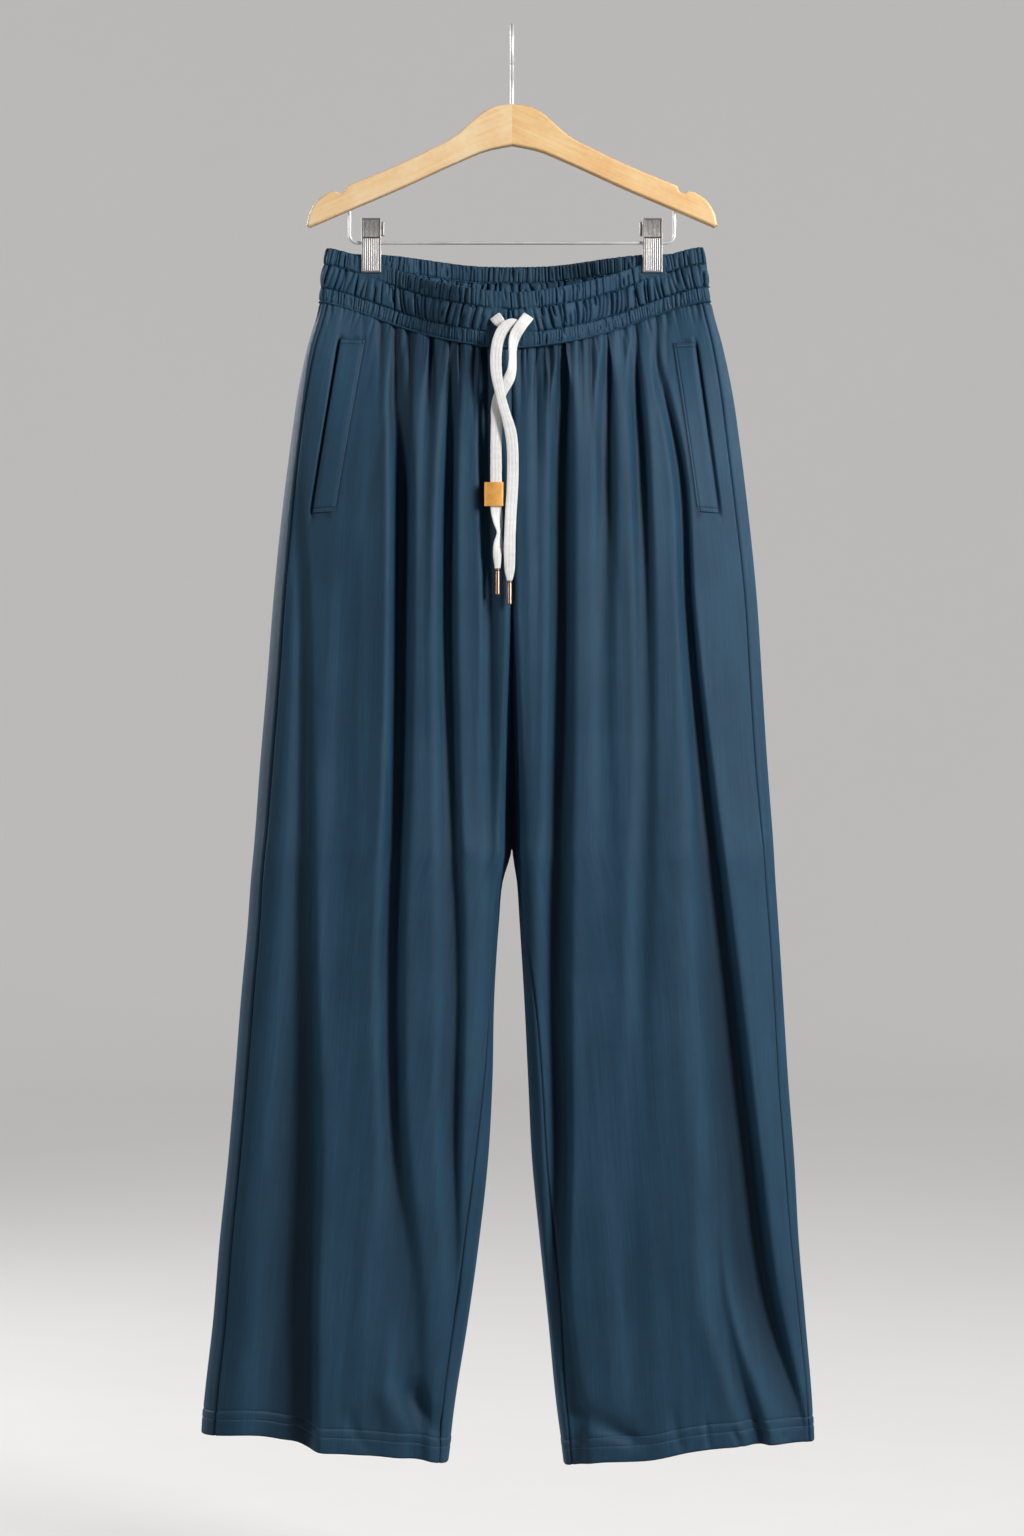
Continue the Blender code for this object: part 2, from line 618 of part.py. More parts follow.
# ---------------------------------------------------------------- pocket welts
def make_welt(side, tree, material):
    """A welt over the pocket, its points taken from the panel and moved out."""
    welt = WELTS[side]
    down = np.linspace(0, 1, 9)[:, None]
    over = np.linspace(0, 1, 4)[None, :]
    z = welt.top + (welt.low - welt.top) * down + 0 * over
    open_edge = welt.top_open + (welt.low_open - welt.top_open) * down
    stitched = welt.top_stitched + (welt.low_stitched - welt.top_stitched) * down
    x = open_edge + (stitched - open_edge) * over
    inner = np.zeros((9, 4, 3))
    outer = np.zeros((9, 4, 3))
    for row in range(9):
        for column in range(4):
            start = Vector((x[row, column] * MM, -0.2, z[row, column] * MM))
            hit, normal, _, _ = tree.ray_cast(start, Vector((0, 1, 0)))
            at = np.array(hit) / MM
            inner[row, column] = at - [0, WELT_LIFT, 0]
            outer[row, column] = at - [0, WELT_LIFT + WELT_CLOTH, 0]
    finish_mesh("pocket_welt_" + side, cloth_wall(outer, inner), material)


# ---------------------------------------------------------------- drawcords
def cord_frames(route):
    """Middle, turn and half width along a smooth curve through the route."""
    table = np.array(route, float)
    steps = np.linalg.norm(np.diff(table[:, :3], axis=0), axis=1)
    length = np.concatenate([[0], np.cumsum(steps)])
    at = np.linspace(0, length[-1], CORD_STEPS + 1)
    columns = [smooth_at(length, table[:, k], at) for k in range(5)]
    middle = np.stack(columns[:3], axis=-1)
    return middle, np.radians(columns[3]), columns[4] * CORD_WIDTH / 2


def make_cord(name, route, material):
    """A flat braid: a six-sided section swept along the route."""
    middle, turns, halves = cord_frames(route)
    along = np.gradient(middle, axis=0)
    along /= np.linalg.norm(along, axis=1, keepdims=True)
    bm = bmesh.new()
    rings = []
    rim = CORD_THICK / 2
    for centre, way, turn, half in zip(middle, along, turns, halves):
        facing = np.array([math.sin(turn), -math.cos(turn), 0.0])
        flat = np.cross(way, facing)
        flat /= np.linalg.norm(flat)
        thick = np.cross(flat, way)
        flank = half - CORD_EDGE
        shape = [(half, 0), (flank, rim), (-flank, rim), (-half, 0), (-flank, -rim), (flank, -rim)]
        rings.append([bm.verts.new(Vector((centre + flat * a + thick * b) * MM)) for a, b in shape])
    for before, after in zip(rings, rings[1:]):
        for k in range(6):
            bm.faces.new((before[k], before[(k + 1) % 6], after[(k + 1) % 6], after[k]))
    bm.faces.new(rings[0][::-1])
    bm.faces.new(rings[-1])
    finish_mesh(name, bm, material)


def make_tip(name, end, length, material):
    """A metal tip, 0.3 below the cord's end, with rounded rims."""
    bm = bmesh.new()
    bmesh.ops.create_cone(
        bm, cap_ends=True, segments=12, radius1=TIP_RADIUS * MM, radius2=TIP_RADIUS * MM, depth=length * MM
    )
    rims = [edge for edge in bm.edges if abs(edge.verts[0].co.z - edge.verts[1].co.z) < 1e-6]
    bmesh.ops.bevel(bm, geom=rims, offset=0.5 * MM, affect="EDGES", segments=1, profile=0.5, material=-1)
    drop = end.z - SEAM_GAP - length / 2
    bmesh.ops.translate(bm, verts=bm.verts, vec=Vector((end.x, end.y, drop)) * MM)
    finish_mesh(name, bm, material)


def make_tab(material):
    """The folded tab round the left-hand tail: a sleeve with a slot for it."""
    middle_x, middle_y = np.mean([(p.x, p.y) for p in CORD_RIGHT if TAB_LOW < p.z < TAB_TOP], axis=0)
    hole = CORD_THICK / 2 + SEAM_GAP
    outside = hole + TAB_WALL
    slot_left = middle_x - CORD_WIDTH / 2 - SEAM_GAP
    slot_right = middle_x + CORD_WIDTH / 2 + SEAM_GAP
    tab_right = slot_right + TAB_WALL
    corners = [
        (TAB_LEFT, -outside), (tab_right, -outside), (tab_right, outside), (TAB_LEFT, outside),
    ]
    slot = [(slot_left, -hole), (slot_right, -hole), (slot_right, hole), (slot_left, hole)]
    bm = bmesh.new()
    top_outer = [bm.verts.new(Vector((x, middle_y + y, TAB_TOP)) * MM) for x, y in corners]
    top_slot = [bm.verts.new(Vector((x, middle_y + y, TAB_TOP)) * MM) for x, y in slot]
    for k in range(4):
        after = (k + 1) % 4
        bm.faces.new((top_outer[k], top_outer[after], top_slot[after], top_slot[k]))
    grown = bmesh.ops.extrude_face_region(bm, geom=list(bm.faces))
    moved = [item for item in grown["geom"] if isinstance(item, bmesh.types.BMVert)]
    bmesh.ops.translate(bm, verts=moved, vec=Vector((0, 0, TAB_LOW - TAB_TOP)) * MM)
    finish_mesh("cord_tab", bm, material)


# ---------------------------------------------------------------- hanger
def make_arm(side, material):
    """One half of the shaped wooden hanger, its edges rounded."""
    sign = 1.0 if side == "left" else -1.0
    outline = ARM_TOP + ARM_LOW
    bm = bmesh.new()
    verts = []
    for point in outline:
        x = min(point.x, -SEAM_GAP / 2) * sign
        verts.append(bm.verts.new(Vector((x, -WOOD_THICK / 2, point.z)) * MM))
    face = bm.faces.new(verts)
    grown = bmesh.ops.extrude_face_region(bm, geom=[face])
    moved = [item for item in grown["geom"] if isinstance(item, bmesh.types.BMVert)]
    bmesh.ops.translate(bm, verts=moved, vec=Vector((0, WOOD_THICK, 0)) * MM)
    half = WOOD_THICK / 2 * MM
    rims = []
    for edge in bm.edges:
        ends = [vert.co for vert in edge.verts]
        on_face = abs(abs(ends[0].y) - half) < 1e-7 and abs(ends[0].y - ends[1].y) < 1e-7
        at_joint = abs(ends[0].x) < 1e-3 and abs(ends[1].x) < 1e-3
        if on_face and not at_joint:
            rims.append(edge)
    bmesh.ops.bevel(
        bm, geom=rims, offset=WOOD_ROUND * MM, affect="EDGES", segments=2, profile=0.5, material=-1
    )
    finish_mesh("hanger_arm_" + side, bm, material)


def make_wire(name, points, radius, material, rounds=2):
    """A round wire as a curve with a bevel and closed ends."""
    curve = bpy.data.curves.new(name, "CURVE")
    curve.dimensions = "3D"
    curve.bevel_depth = radius * MM
    curve.bevel_resolution = rounds
    curve.use_fill_caps = True
    spline = curve.splines.new("POLY")
    spline.points.add(len(points) - 1)
    for target, point in zip(spline.points, points):
        target.co = (point[0] * MM, point[1] * MM, point[2] * MM, 1.0)
    spline.use_smooth = True
    return link_object(name, curve, material)


def arc(centre_y, centre_z, radius, start, end, count):
    """Points of an arc in the YZ plane, angles in degrees from +Y."""
    angles = np.radians(np.linspace(start, end, count))
    return [(0.0, centre_y + radius * math.cos(a), centre_z + radius * math.sin(a)) for a in angles]


def make_hook(material):
    """The hook: a shank out of the wood, a bend back and the loop over it."""
    centre = HOOK_RADIUS - HOOK_LOOP
    top = ARM_TOP[0].z + SEAM_GAP
    neck = [(0.0, 0.0, top), (0.0, 0.0, top + 8), (0.0, 0.5, top + 14), (0.0, 3.0, top + 20), (0.0, 7.5, top + 25)]
    loop = arc(0.0, centre, HOOK_LOOP, -52, 222, 22)
    make_wire("hook", neck + loop, HOOK_RADIUS, material)


def make_bar(material):
    """The bar that carries the clips, bent up at both ends into the wood."""
    corner = BAR_Z + BAR_BEND
    inside = BAR_X - BAR_BEND
    turn = [math.radians(a) for a in (0, 22.5, 45, 67.5, 90)]
    right = [(inside + BAR_BEND * math.sin(a), 0.0, corner - BAR_BEND * math.cos(a)) for a in turn]
    left = [(-x, y, z) for x, y, z in right[::-1]]
    points = [(-BAR_X, 0.0, BAR_TOP)] + left + right + [(BAR_X, 0.0, BAR_TOP)]
    make_wire("bar", points, BAR_RADIUS, material)


def make_jaw(side, is_front, material):
    """One jaw of a clip, a bent plate: its profile extruded across."""
    way = -1.0 if is_front else 1.0
    middle = -CLIP_X if side == "left" else CLIP_X
    profile = [(row.inner, row.height) for row in JAW_ROWS]
    profile += [(row.outer, row.height) for row in JAW_ROWS[::-1]]
    bm = bmesh.new()
    start = middle - CLIP_WIDTH / 2
    verts = [bm.verts.new(Vector((start, way * y, z)) * MM) for y, z in profile]
    face = bm.faces.new(verts)
    grown = bmesh.ops.extrude_face_region(bm, geom=[face])
    moved = [item for item in grown["geom"] if isinstance(item, bmesh.types.BMVert)]
    bmesh.ops.translate(bm, verts=moved, vec=Vector((CLIP_WIDTH, 0, 0)) * MM)
    name = "clip_" + side + ("_front" if is_front else "_back")
    finish_mesh(name, bm, material)


# ---------------------------------------------------------------- the whole object
def main():
    clear_scene()
    knit = make_material("blue_knit", (0.045, 0.095, 0.15), 0.75)
    braid = make_material("white_braid", (0.85, 0.84, 0.82), 0.8)
    copper = make_material("copper_tip", (0.62, 0.36, 0.27), 0.25, 1.0)
    leather = make_material("tan_leather", (0.62, 0.33, 0.1), 0.6)
    wood = make_material("pale_wood", (0.8, 0.55, 0.29), 0.4)
    steel = make_material("bright_steel", (0.62, 0.61, 0.6), 0.3, 1.0)
    for side in ("left", "right"):
        front_tree = make_panel(side, True, knit)
        make_panel(side, False, knit)
        make_welt(side, front_tree, knit)
        make_arm(side, wood)
        make_jaw(side, True, steel)
        make_jaw(side, False, steel)
    make_waistband(True, knit)
    make_waistband(False, knit)
    make_cord("drawcord_left", CORD_LEFT, braid)
    make_cord("drawcord_right", CORD_RIGHT, braid)
    make_tip("cord_tip_left", CORD_LEFT[-1], TIP_LENGTH["left"], copper)
    make_tip("cord_tip_right", CORD_RIGHT[-1], TIP_LENGTH["right"], copper)
    make_tab(leather)
    make_hook(steel)
    make_bar(steel)


main()
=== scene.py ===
# %% [markdown]
# # Wide-leg drawstring pants on a wooden clip hanger
# This notebook dresses a imported model of a pair of pants. The imported model has
# the true sizes. Each cell makes one real part of the garment or the hanger:
# the cloth with its gathers, the waistband, the cords, the wood and the wire.
#
# The frame comes first, because every piece is placed by it.

# %% Load the imported model
import math
from collections import namedtuple

import bmesh
import bpy
import numpy as np
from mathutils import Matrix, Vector
from mathutils.bvhtree import BVHTree


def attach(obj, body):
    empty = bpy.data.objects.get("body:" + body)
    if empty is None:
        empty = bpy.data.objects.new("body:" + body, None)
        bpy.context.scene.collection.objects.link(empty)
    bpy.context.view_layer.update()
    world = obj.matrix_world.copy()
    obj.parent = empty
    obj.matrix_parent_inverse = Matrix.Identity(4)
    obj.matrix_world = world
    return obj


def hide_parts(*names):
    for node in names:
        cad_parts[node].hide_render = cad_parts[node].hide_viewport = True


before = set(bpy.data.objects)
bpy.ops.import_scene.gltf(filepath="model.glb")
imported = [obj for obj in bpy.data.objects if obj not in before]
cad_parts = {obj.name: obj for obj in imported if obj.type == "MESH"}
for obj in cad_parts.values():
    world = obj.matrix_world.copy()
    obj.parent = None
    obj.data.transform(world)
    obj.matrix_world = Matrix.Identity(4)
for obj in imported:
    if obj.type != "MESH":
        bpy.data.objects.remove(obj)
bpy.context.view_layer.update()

MM = 0.001
SIDES = {"left": -1.0, "right": 1.0}    # the way each side lies along X

# %% [markdown]
# ## The camera
# The picture was taken from straight ahead with a long lens, so the legs keep
# their true widths. Three metres is far enough for that. The lens is worked out
# from the height that the frame has to show at the hanger's distance.

# %% Camera
CAMERA_AWAY = 3.0
CAMERA_HEIGHT = -0.666
FRAME_HEIGHT = 1.3824

camera_data = bpy.data.cameras.new("camera")
camera_data.sensor_width = 36.0
camera_data.lens = camera_data.sensor_width * CAMERA_AWAY / FRAME_HEIGHT
camera = bpy.data.objects.new("camera", camera_data)
camera.location = (0.0, -CAMERA_AWAY, CAMERA_HEIGHT)
camera.rotation_euler = (math.radians(90), 0.0, 0.0)
bpy.context.scene.collection.objects.link(camera)
bpy.context.scene.camera = camera
bpy.context.scene.view_settings.view_transform = "Standard"
print("lens", round(camera_data.lens, 1), "mm")

# %% [markdown]
# ## Curves through short tables
# A garment's form is given by a few measured rows. A smooth curve through the
# rows gives every height between them. A Hermite curve keeps the slope steady
# at each row, where straight lines would show as kinks in the cloth's shading.
# The short helpers after it shape most of the relief: a soft step, a window and
# a bell, and a way to lay even points along a curve.

# %% Curves through tables
def smooth_at(places, values, wanted):
    """Values at the wanted places, on a smooth curve through a table."""
    x = np.asarray(places, float)
    v = np.asarray(values, float)
    if x[0] > x[-1]:
        x = x[::-1]
        v = v[::-1]
    p = np.clip(np.asarray(wanted, float), x[0], x[-1])
    slope = np.gradient(v, x)
    i = np.clip(np.searchsorted(x, p) - 1, 0, len(x) - 2)
    step = x[i + 1] - x[i]
    t = (p - x[i]) / step
    return (
        (2 * t**3 - 3 * t**2 + 1) * v[i]
        + (t**3 - 2 * t**2 + t) * step * slope[i]
        + (3 * t**2 - 2 * t**3) * v[i + 1]
        + (t**3 - t**2) * step * slope[i + 1]
    )


def soft_step(t):
    """0 to 1 with soft ends as t goes from 0 to 1."""
    t = np.clip(t, 0.0, 1.0)
    return t * t * (3 - 2 * t)


def within(t, margin, fade):
    """1 while t is between 0 and 1, falling to 0 just outside."""
    return soft_step((t + margin) / fade) * soft_step((1 + margin - t) / fade)


def bell(distance, width):
    """1 at no distance, and nearly 0 at twice the width."""
    return np.exp(-((distance / width) ** 2))


def run_of(points):
    """Length along a line of points, from its first one."""
    return np.concatenate([[0], np.cumsum(np.linalg.norm(np.diff(points, axis=0), axis=-1))])


def resampled(points, count):
    """A few points as a smooth curve of many, at even steps of length."""
    table = np.array(points, float)
    run = run_of(table[:, :3])
    at = np.linspace(0, run[-1], count)
    return np.stack([smooth_at(run, column, at) for column in table.T], axis=-1), at


def column_at(table, column, z):
    """One column of a table of heights, read at the heights z."""
    return smooth_at([row.height for row in table], [getattr(row, column) for row in table], z)


def link(name, data, material):
    """Make an object that rides on the frame's one body."""
    data.materials.append(material)
    made = bpy.data.objects.new(name, data)
    bpy.context.scene.collection.objects.link(made)
    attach(made, "root")
    return made


def finish_mesh(name, bm, material, sharp=40.0):
    """Turn a bmesh into a piece, shaded smooth but for its sharp edges."""
    mesh = bpy.data.meshes.new(name)
    bm.to_mesh(mesh)
    bm.free()
    mesh.shade_smooth()
    mesh.set_sharp_from_angle(angle=math.radians(sharp))
    return link(name, mesh, material)


print("halfway through a soft step:", soft_step(0.5))


# %% [markdown]
# ## Shader helpers
# Materials are small node trees. A few short functions keep them readable: they
# add a node and set its inputs, do arithmetic, mix colours and place a group.
# An effect that several materials share is a node group, so it is built once
# and each material gives it its own values.

# %% Shader helpers
def feed(tree, socket, value):
    """Give a socket a value, or a link where the value is another socket."""
    if isinstance(value, bpy.types.NodeSocket):
        tree.links.new(value, socket)
    else:
        socket.default_value = value


def node(tree, kind, settings=(), **inputs):
    """Add a node. Numbers and colours are set on its inputs, sockets are linked."""
    made = tree.nodes.new(kind)
    for key, value in dict(settings).items():
        setattr(made, key, value)
    for key, value in inputs.items():
        numbered = key[0] == "i" and key[1:].isdigit()
        feed(tree, made.inputs[int(key[1:]) if numbered else key.replace("_", " ")], value)
    return made


def maths(tree, operation, first, second=0.0):
    """The result of one Math node."""
    return node(tree, "ShaderNodeMath", {"operation": operation}, i0=first, i1=second).outputs[0]


def spread(tree, value, low, high, **limits):
    """A mask stretched to run from low to high."""
    return node(tree, "ShaderNodeMapRange", Value=value, To_Min=low, To_Max=high, **limits).outputs[0]


def tinted(tree, blend, share, below, above):
    """Two colours mixed by one of the Mix node's blends."""
    settings = {"data_type": "RGBA", "blend_type": blend}
    return node(tree, "ShaderNodeMix", settings, i0=share, i6=below, i7=above).outputs[2]


def object_place(tree):
    """The place of each point on the piece, in metres."""
    return node(tree, "ShaderNodeTexCoord").outputs["Object"]


def new_group(name, inputs, outputs):
    """A shader group with named sockets: (name, kind, starting value)."""
    tree = bpy.data.node_groups.new(name, "ShaderNodeTree")
    for label, kind, value in inputs:
        socket = tree.interface.new_socket(name=label, in_out="INPUT", socket_type=kind)
        if value is not None:
            socket.default_value = value
    for label, kind in outputs:
        tree.interface.new_socket(name=label, in_out="OUTPUT", socket_type=kind)
    ends = [tree.nodes.new("NodeGroup" + end) for end in ("Input", "Output")]
    return tree, ends[0].outputs, ends[1].inputs


def place_group(tree, group, **inputs):
    """A shared effect, placed in one material with its own values."""
    made = tree.nodes.new("ShaderNodeGroup")
    made.node_tree = group
    for key, value in inputs.items():
        feed(tree, made.inputs[key.replace("_", " ")], value)
    return made.outputs


def place_mottle(tree, place, scale, dark, light):
    """Uneven tone between two colours. The group itself is built below."""
    return place_group(
        tree, mottle, Vector=place, Scale=scale, Dark=(*dark, 1.0), Light=(*light, 1.0)
    )["Color"]


def add_bump(tree, shader, height, strength, distance):
    """Fine relief on the shader's normal."""
    made = node(tree, "ShaderNodeBump", Height=height, Strength=strength, Distance=distance)
    tree.links.new(made.outputs[0], shader["Normal"])


def new_material(name, **settings):
    """A Principled material, with numbers and colours set on the shader itself."""
    material = bpy.data.materials.new(name)
    material.use_nodes = True
    shader = material.node_tree.nodes["Principled BSDF"]
    for key, value in settings.items():
        shader.inputs[key.replace("_", " ")].default_value = value
    return material, material.node_tree, shader.inputs


FLOAT = "NodeSocketFloat"
COLOUR = "NodeSocketColor"
VECTOR = "NodeSocketVector"
print("the shader helpers are ready")

# %% [markdown]
# ## Shared effects
# *Mottle* is uneven tone: dye takes unevenly in cloth, and wood and metal have
# cloudy patches too. Two noises of different sizes mix two colours.
#
# *Streaks* are long thin marks in one direction: the nap of a knit, the grain
# of wood, the brush marks of steel. A noise stretched along one axis makes them.
#
# *Knit* is the face of a fine jersey: upright ribs called wales, each one a
# chain of small V shapes. Sine waves along and across the cloth's own map give
# it, so it follows every fold.

# %% Shared effects
mottle, given, give = new_group(
    "mottle",
    [
        ("Vector", VECTOR, None), ("Scale", FLOAT, 20.0), ("Dark", COLOUR, None), ("Light", COLOUR, None),
    ],
    [("Color", COLOUR)],
)
cloudy = node(mottle, "ShaderNodeTexNoise", Vector=given["Vector"], Scale=given["Scale"], Detail=3.0)
small = maths(mottle, "MULTIPLY", given["Scale"], 9.0)
speckled = node(mottle, "ShaderNodeTexNoise", Vector=given["Vector"], Scale=small, Detail=2.0)
specks = maths(mottle, "MULTIPLY", speckled.outputs["Fac"], 0.35)
mixed = maths(mottle, "ADD", cloudy.outputs["Fac"], specks)
mask = spread(mottle, mixed, 0.0, 1.0, From_Min=0.45, From_Max=0.9)
mottle.links.new(tinted(mottle, "MIX", mask, given["Dark"], given["Light"]), give["Color"])

streaks, given, give = new_group(
    "streaks",
    [("Vector", VECTOR, None), ("Across", VECTOR, (1.0, 1.0, 1.0)), ("Fine", FLOAT, 1.0)],
    [("Mask", FLOAT)],
)
stretched = node(
    streaks, "ShaderNodeVectorMath", {"operation": "MULTIPLY"}, i0=given["Vector"], i1=given["Across"],
).outputs[0]
long_marks = node(streaks, "ShaderNodeTexNoise", Vector=stretched, Scale=given["Fine"], Detail=5.0)
streaks.links.new(
    spread(streaks, long_marks.outputs["Fac"], 0.0, 1.0, From_Min=0.3, From_Max=0.7), give["Mask"]
)

knit, given, give = new_group(
    "knit",
    [("Vector", VECTOR, None), ("Wale", FLOAT, 0.0009), ("Course", FLOAT, 0.0007)],
    [("Height", FLOAT), ("Mask", FLOAT)],
)
split = node(knit, "ShaderNodeSeparateXYZ", Vector=given["Vector"]).outputs
wale = maths(knit, "DIVIDE", split["X"], given["Wale"])
off_middle = maths(knit, "ABSOLUTE", maths(knit, "SUBTRACT", maths(knit, "FRACT", wale), 0.5))
course = maths(knit, "DIVIDE", split["Y"], given["Course"])
chain = maths(knit, "SINE", maths(knit, "MULTIPLY", maths(knit, "ADD", course, off_middle), math.tau))
rib = maths(knit, "COSINE", maths(knit, "MULTIPLY", off_middle, math.tau))
knit.links.new(maths(knit, "ADD", rib, maths(knit, "MULTIPLY", chain, 0.6)), give["Height"])
knit.links.new(maths(knit, "ADD", maths(knit, "MULTIPLY", chain, 0.25), 0.5), give["Mask"])
print("shared effects:", [group.name for group in (mottle, streaks, knit)])

# %% [markdown]
# ## The blue cloth
# The pants are a smooth knit with a soft sheen: the ridges of the folds catch a
# pale light, and the valleys go nearly black. Sheen is set on the shader, and
# the tone varies with the dye and with the nap, which runs down the leg. Each
# piece also carries an attribute of painted shade, which darkens the colour deep
# in its folds, seams and creases, as shade.

# %% Cloth materials
# painted shade: the share of its colour that the cloth keeps where its painted shade is deepest
PAINTED_SHADE_TONE = (0.36, 0.44, 0.48, 1.0)   # what the deepest cloth keeps of its colour
CLOTH_WALE = 0.0009                     # metres from one rib of the knit to the next

blue_knit, tree, shader = new_material(
    "blue_knit", Sheen_Weight=0.13, Sheen_Roughness=0.4, Sheen_Tint=(0.36, 0.6, 0.85, 1.0),
    Specular_IOR_Level=0.26,
)
cloth_map = node(tree, "ShaderNodeUVMap", {"uv_map": "cloth"}).outputs[0]
tone = place_mottle(tree, cloth_map, 14.0, (0.0140, 0.053, 0.099), (0.0190, 0.066, 0.117))
nap = place_group(tree, streaks, Vector=cloth_map, Across=(1.0, 0.03, 1.0), Fine=520.0)["Mask"]
brushed = place_group(tree, streaks, Vector=cloth_map, Across=(1.0, 0.05, 1.0), Fine=80.0)["Mask"]
loops = place_group(tree, knit, Vector=cloth_map, Wale=CLOTH_WALE, Course=CLOTH_WALE * 0.8)
for share, mask in ((0.09, brushed), (0.14, nap), (0.25, loops["Mask"])):
    tone = tinted(tree, "OVERLAY", share, tone, mask)
# painted shade: this attribute darkens the colour deep in folds, seams and creases, as shade
painted_shade = node(tree, "ShaderNodeAttribute", {"attribute_name": "painted_shade"}).outputs["Fac"]
tree.links.new(tinted(tree, "MULTIPLY", painted_shade, tone, PAINTED_SHADE_TONE), shader["Base Color"])
tree.links.new(spread(tree, nap, 0.50, 0.62), shader["Roughness"])
add_bump(tree, shader, loops["Height"], 0.35, 0.00012)

thread, tree, shader = new_material("blue_thread", Roughness=0.55, Sheen_Weight=0.2)
twist = place_mottle(tree, object_place(tree), 300.0, (0.05, 0.12, 0.19), (0.09, 0.19, 0.28))
tree.links.new(twist, shader["Base Color"])
print("cloth and thread are ready")

# %% [markdown]
# ## Drawcords
# The cord is a flat white braid about 10.5 mm wide. Both ends come out of
# buttonholes in the waistband. One end loops over the other once, and both
# hang down in front. A curve with a round bevel can't be flat and twist, so
# each cord is a ring of points swept along its route. The crossing strands of
# the braid are real relief: two sets of diagonal waves that cut each other.

# %% Cord routes
# The middle of the ribbon in mm, the turn of its face in degrees, and its width
# as a share of the full one. The left cord ends as the right-hand tail.
CordPoint = namedtuple("CordPoint", "x y z turn width")
CORD_LEFT = [
    CordPoint(-15.2, -49.4, -266.0, 0, 1.0), CordPoint(-12.4, -51.8, -269.8, 0, 1.0),
    CordPoint(-8.2, -53.0, -274.2, 0, 0.75), CordPoint(-3.0, -53.3, -277.8, 0, 0.45),
    CordPoint(2.0, -53.4, -279.6, 0, 0.38), CordPoint(6.2, -54.1, -278.6, 0, 0.36),
    CordPoint(7.4, -55.2, -275.6, 0, 0.36), CordPoint(5.4, -56.2, -273.0, 0, 0.42),
    CordPoint(1.0, -57.0, -272.6, 0, 0.7), CordPoint(-4.0, -57.5, -274.9, 0, 0.9),
    CordPoint(-8.6, -57.9, -280.2, 0, 1.0), CordPoint(-12.0, -58.3, -288.0, 0, 1.0),
    CordPoint(-13.9, -58.7, -298.0, 0, 1.0), CordPoint(-14.3, -58.9, -309.0, 0, 1.0),
    CordPoint(-13.3, -59.1, -321.0, 0, 0.95), CordPoint(-11.2, -59.3, -333.0, 0, 0.85),
    CordPoint(-8.2, -59.3, -345.0, 0, 0.85), CordPoint(-4.8, -58.9, -356.5, 0, 0.9),
    CordPoint(-1.6, -58.3, -368.0, 0, 1.0), CordPoint(0.2, -57.7, -381.0, 0, 1.0),
    CordPoint(0.7, -57.2, -398.0, 0, 1.0), CordPoint(0.2, -56.8, -420.0, 5, 1.0),
    CordPoint(-1.0, -56.4, -440.0, 10, 1.0), CordPoint(-1.9, -56.0, -460.0, 8, 1.0),
    CordPoint(-2.2, -55.7, -480.0, 0, 0.98), CordPoint(-2.1, -55.5, -492.0, 0, 0.85),
    CordPoint(-2.1, -55.5, -500.3, 0, 0.5),
]
CORD_RIGHT = [
    CordPoint(14.6, -49.4, -266.0, 0, 1.0), CordPoint(12.9, -53.8, -268.6, 0, 1.0),
    CordPoint(9.9, -58.2, -272.8, 0, 1.0), CordPoint(6.8, -59.9, -277.4, 0, 1.0),
    CordPoint(3.7, -60.1, -282.6, 10, 1.0), CordPoint(1.5, -59.7, -289.0, 32, 1.0),
    CordPoint(0.6, -58.9, -297.0, 48, 1.0), CordPoint(0.5, -57.8, -306.5, 48, 1.0),
    CordPoint(-0.4, -56.6, -315.5, 36, 1.0), CordPoint(-3.2, -55.4, -323.0, 14, 1.0),
    CordPoint(-7.4, -54.7, -330.0, 0, 1.0), CordPoint(-11.2, -54.3, -337.5, 0, 1.0),
    CordPoint(-13.4, -54.1, -347.0, 0, 1.0), CordPoint(-13.6, -54.0, -360.0, 0, 1.0),
    CordPoint(-14.0, -53.9, -378.0, 0, 1.0), CordPoint(-14.1, -53.9, -398.0, 0, 1.0),
    CordPoint(-14.1, -53.9, -424.0, 0, 1.0), CordPoint(-13.8, -53.9, -438.0, 8, 1.0),
    CordPoint(-12.4, -53.9, -449.0, 40, 1.0), CordPoint(-11.2, -53.9, -458.0, 66, 1.0),
    CordPoint(-12.2, -53.9, -467.0, 40, 0.95), CordPoint(-12.9, -53.9, -477.0, 10, 0.8),
    CordPoint(-12.8, -53.9, -489.7, 0, 0.5),
]
CORD_WIDTH = 10.5
CORD_THICK = 2.2
STRAND_PITCH = 2.4      # length of one crossing of the braid
STRAND_RELIEF = 0.11
RING_POINTS = 32        # points round the ribbon
CORD_STEP = 0.4         # from one ring to the next
print("points along the cords:", len(CORD_LEFT), "and", len(CORD_RIGHT))

# %% [markdown]
# The braid's yarns are finer than its relief, so they are bump and tone in the
# material. It reads the cord's own map: u runs round it and v along it.

# %% Braid material
braid, tree, shader = new_material(
    "white_braid", Roughness=0.78, Sheen_Weight=0.25, Sheen_Roughness=0.5, Specular_IOR_Level=0.3,
)
braid_map = node(tree, "ShaderNodeUVMap", {"uv_map": "cord"}).outputs[0]
tone = place_mottle(tree, braid_map, 180.0, (0.84, 0.83, 0.81), (0.96, 0.95, 0.93))
yarns = place_group(tree, knit, Vector=braid_map, Wale=0.0012, Course=0.0011)
tree.links.new(tinted(tree, "OVERLAY", 0.12, tone, yarns["Mask"]), shader["Base Color"])
add_bump(tree, shader, yarns["Height"], 0.5, 0.00015)
print("the braid is ready")

# %% [markdown]
# Each cord is swept ring by ring. Across goes over the ribbon's face and lift
# goes out of it, and the relief of the braid is added to the lift.

# %% Make the cords
def rounded_square(wave, power):
    """A sine or cosine with its shoulders pushed out, for a ribbon's section."""
    return np.sign(wave) * np.abs(wave) ** power


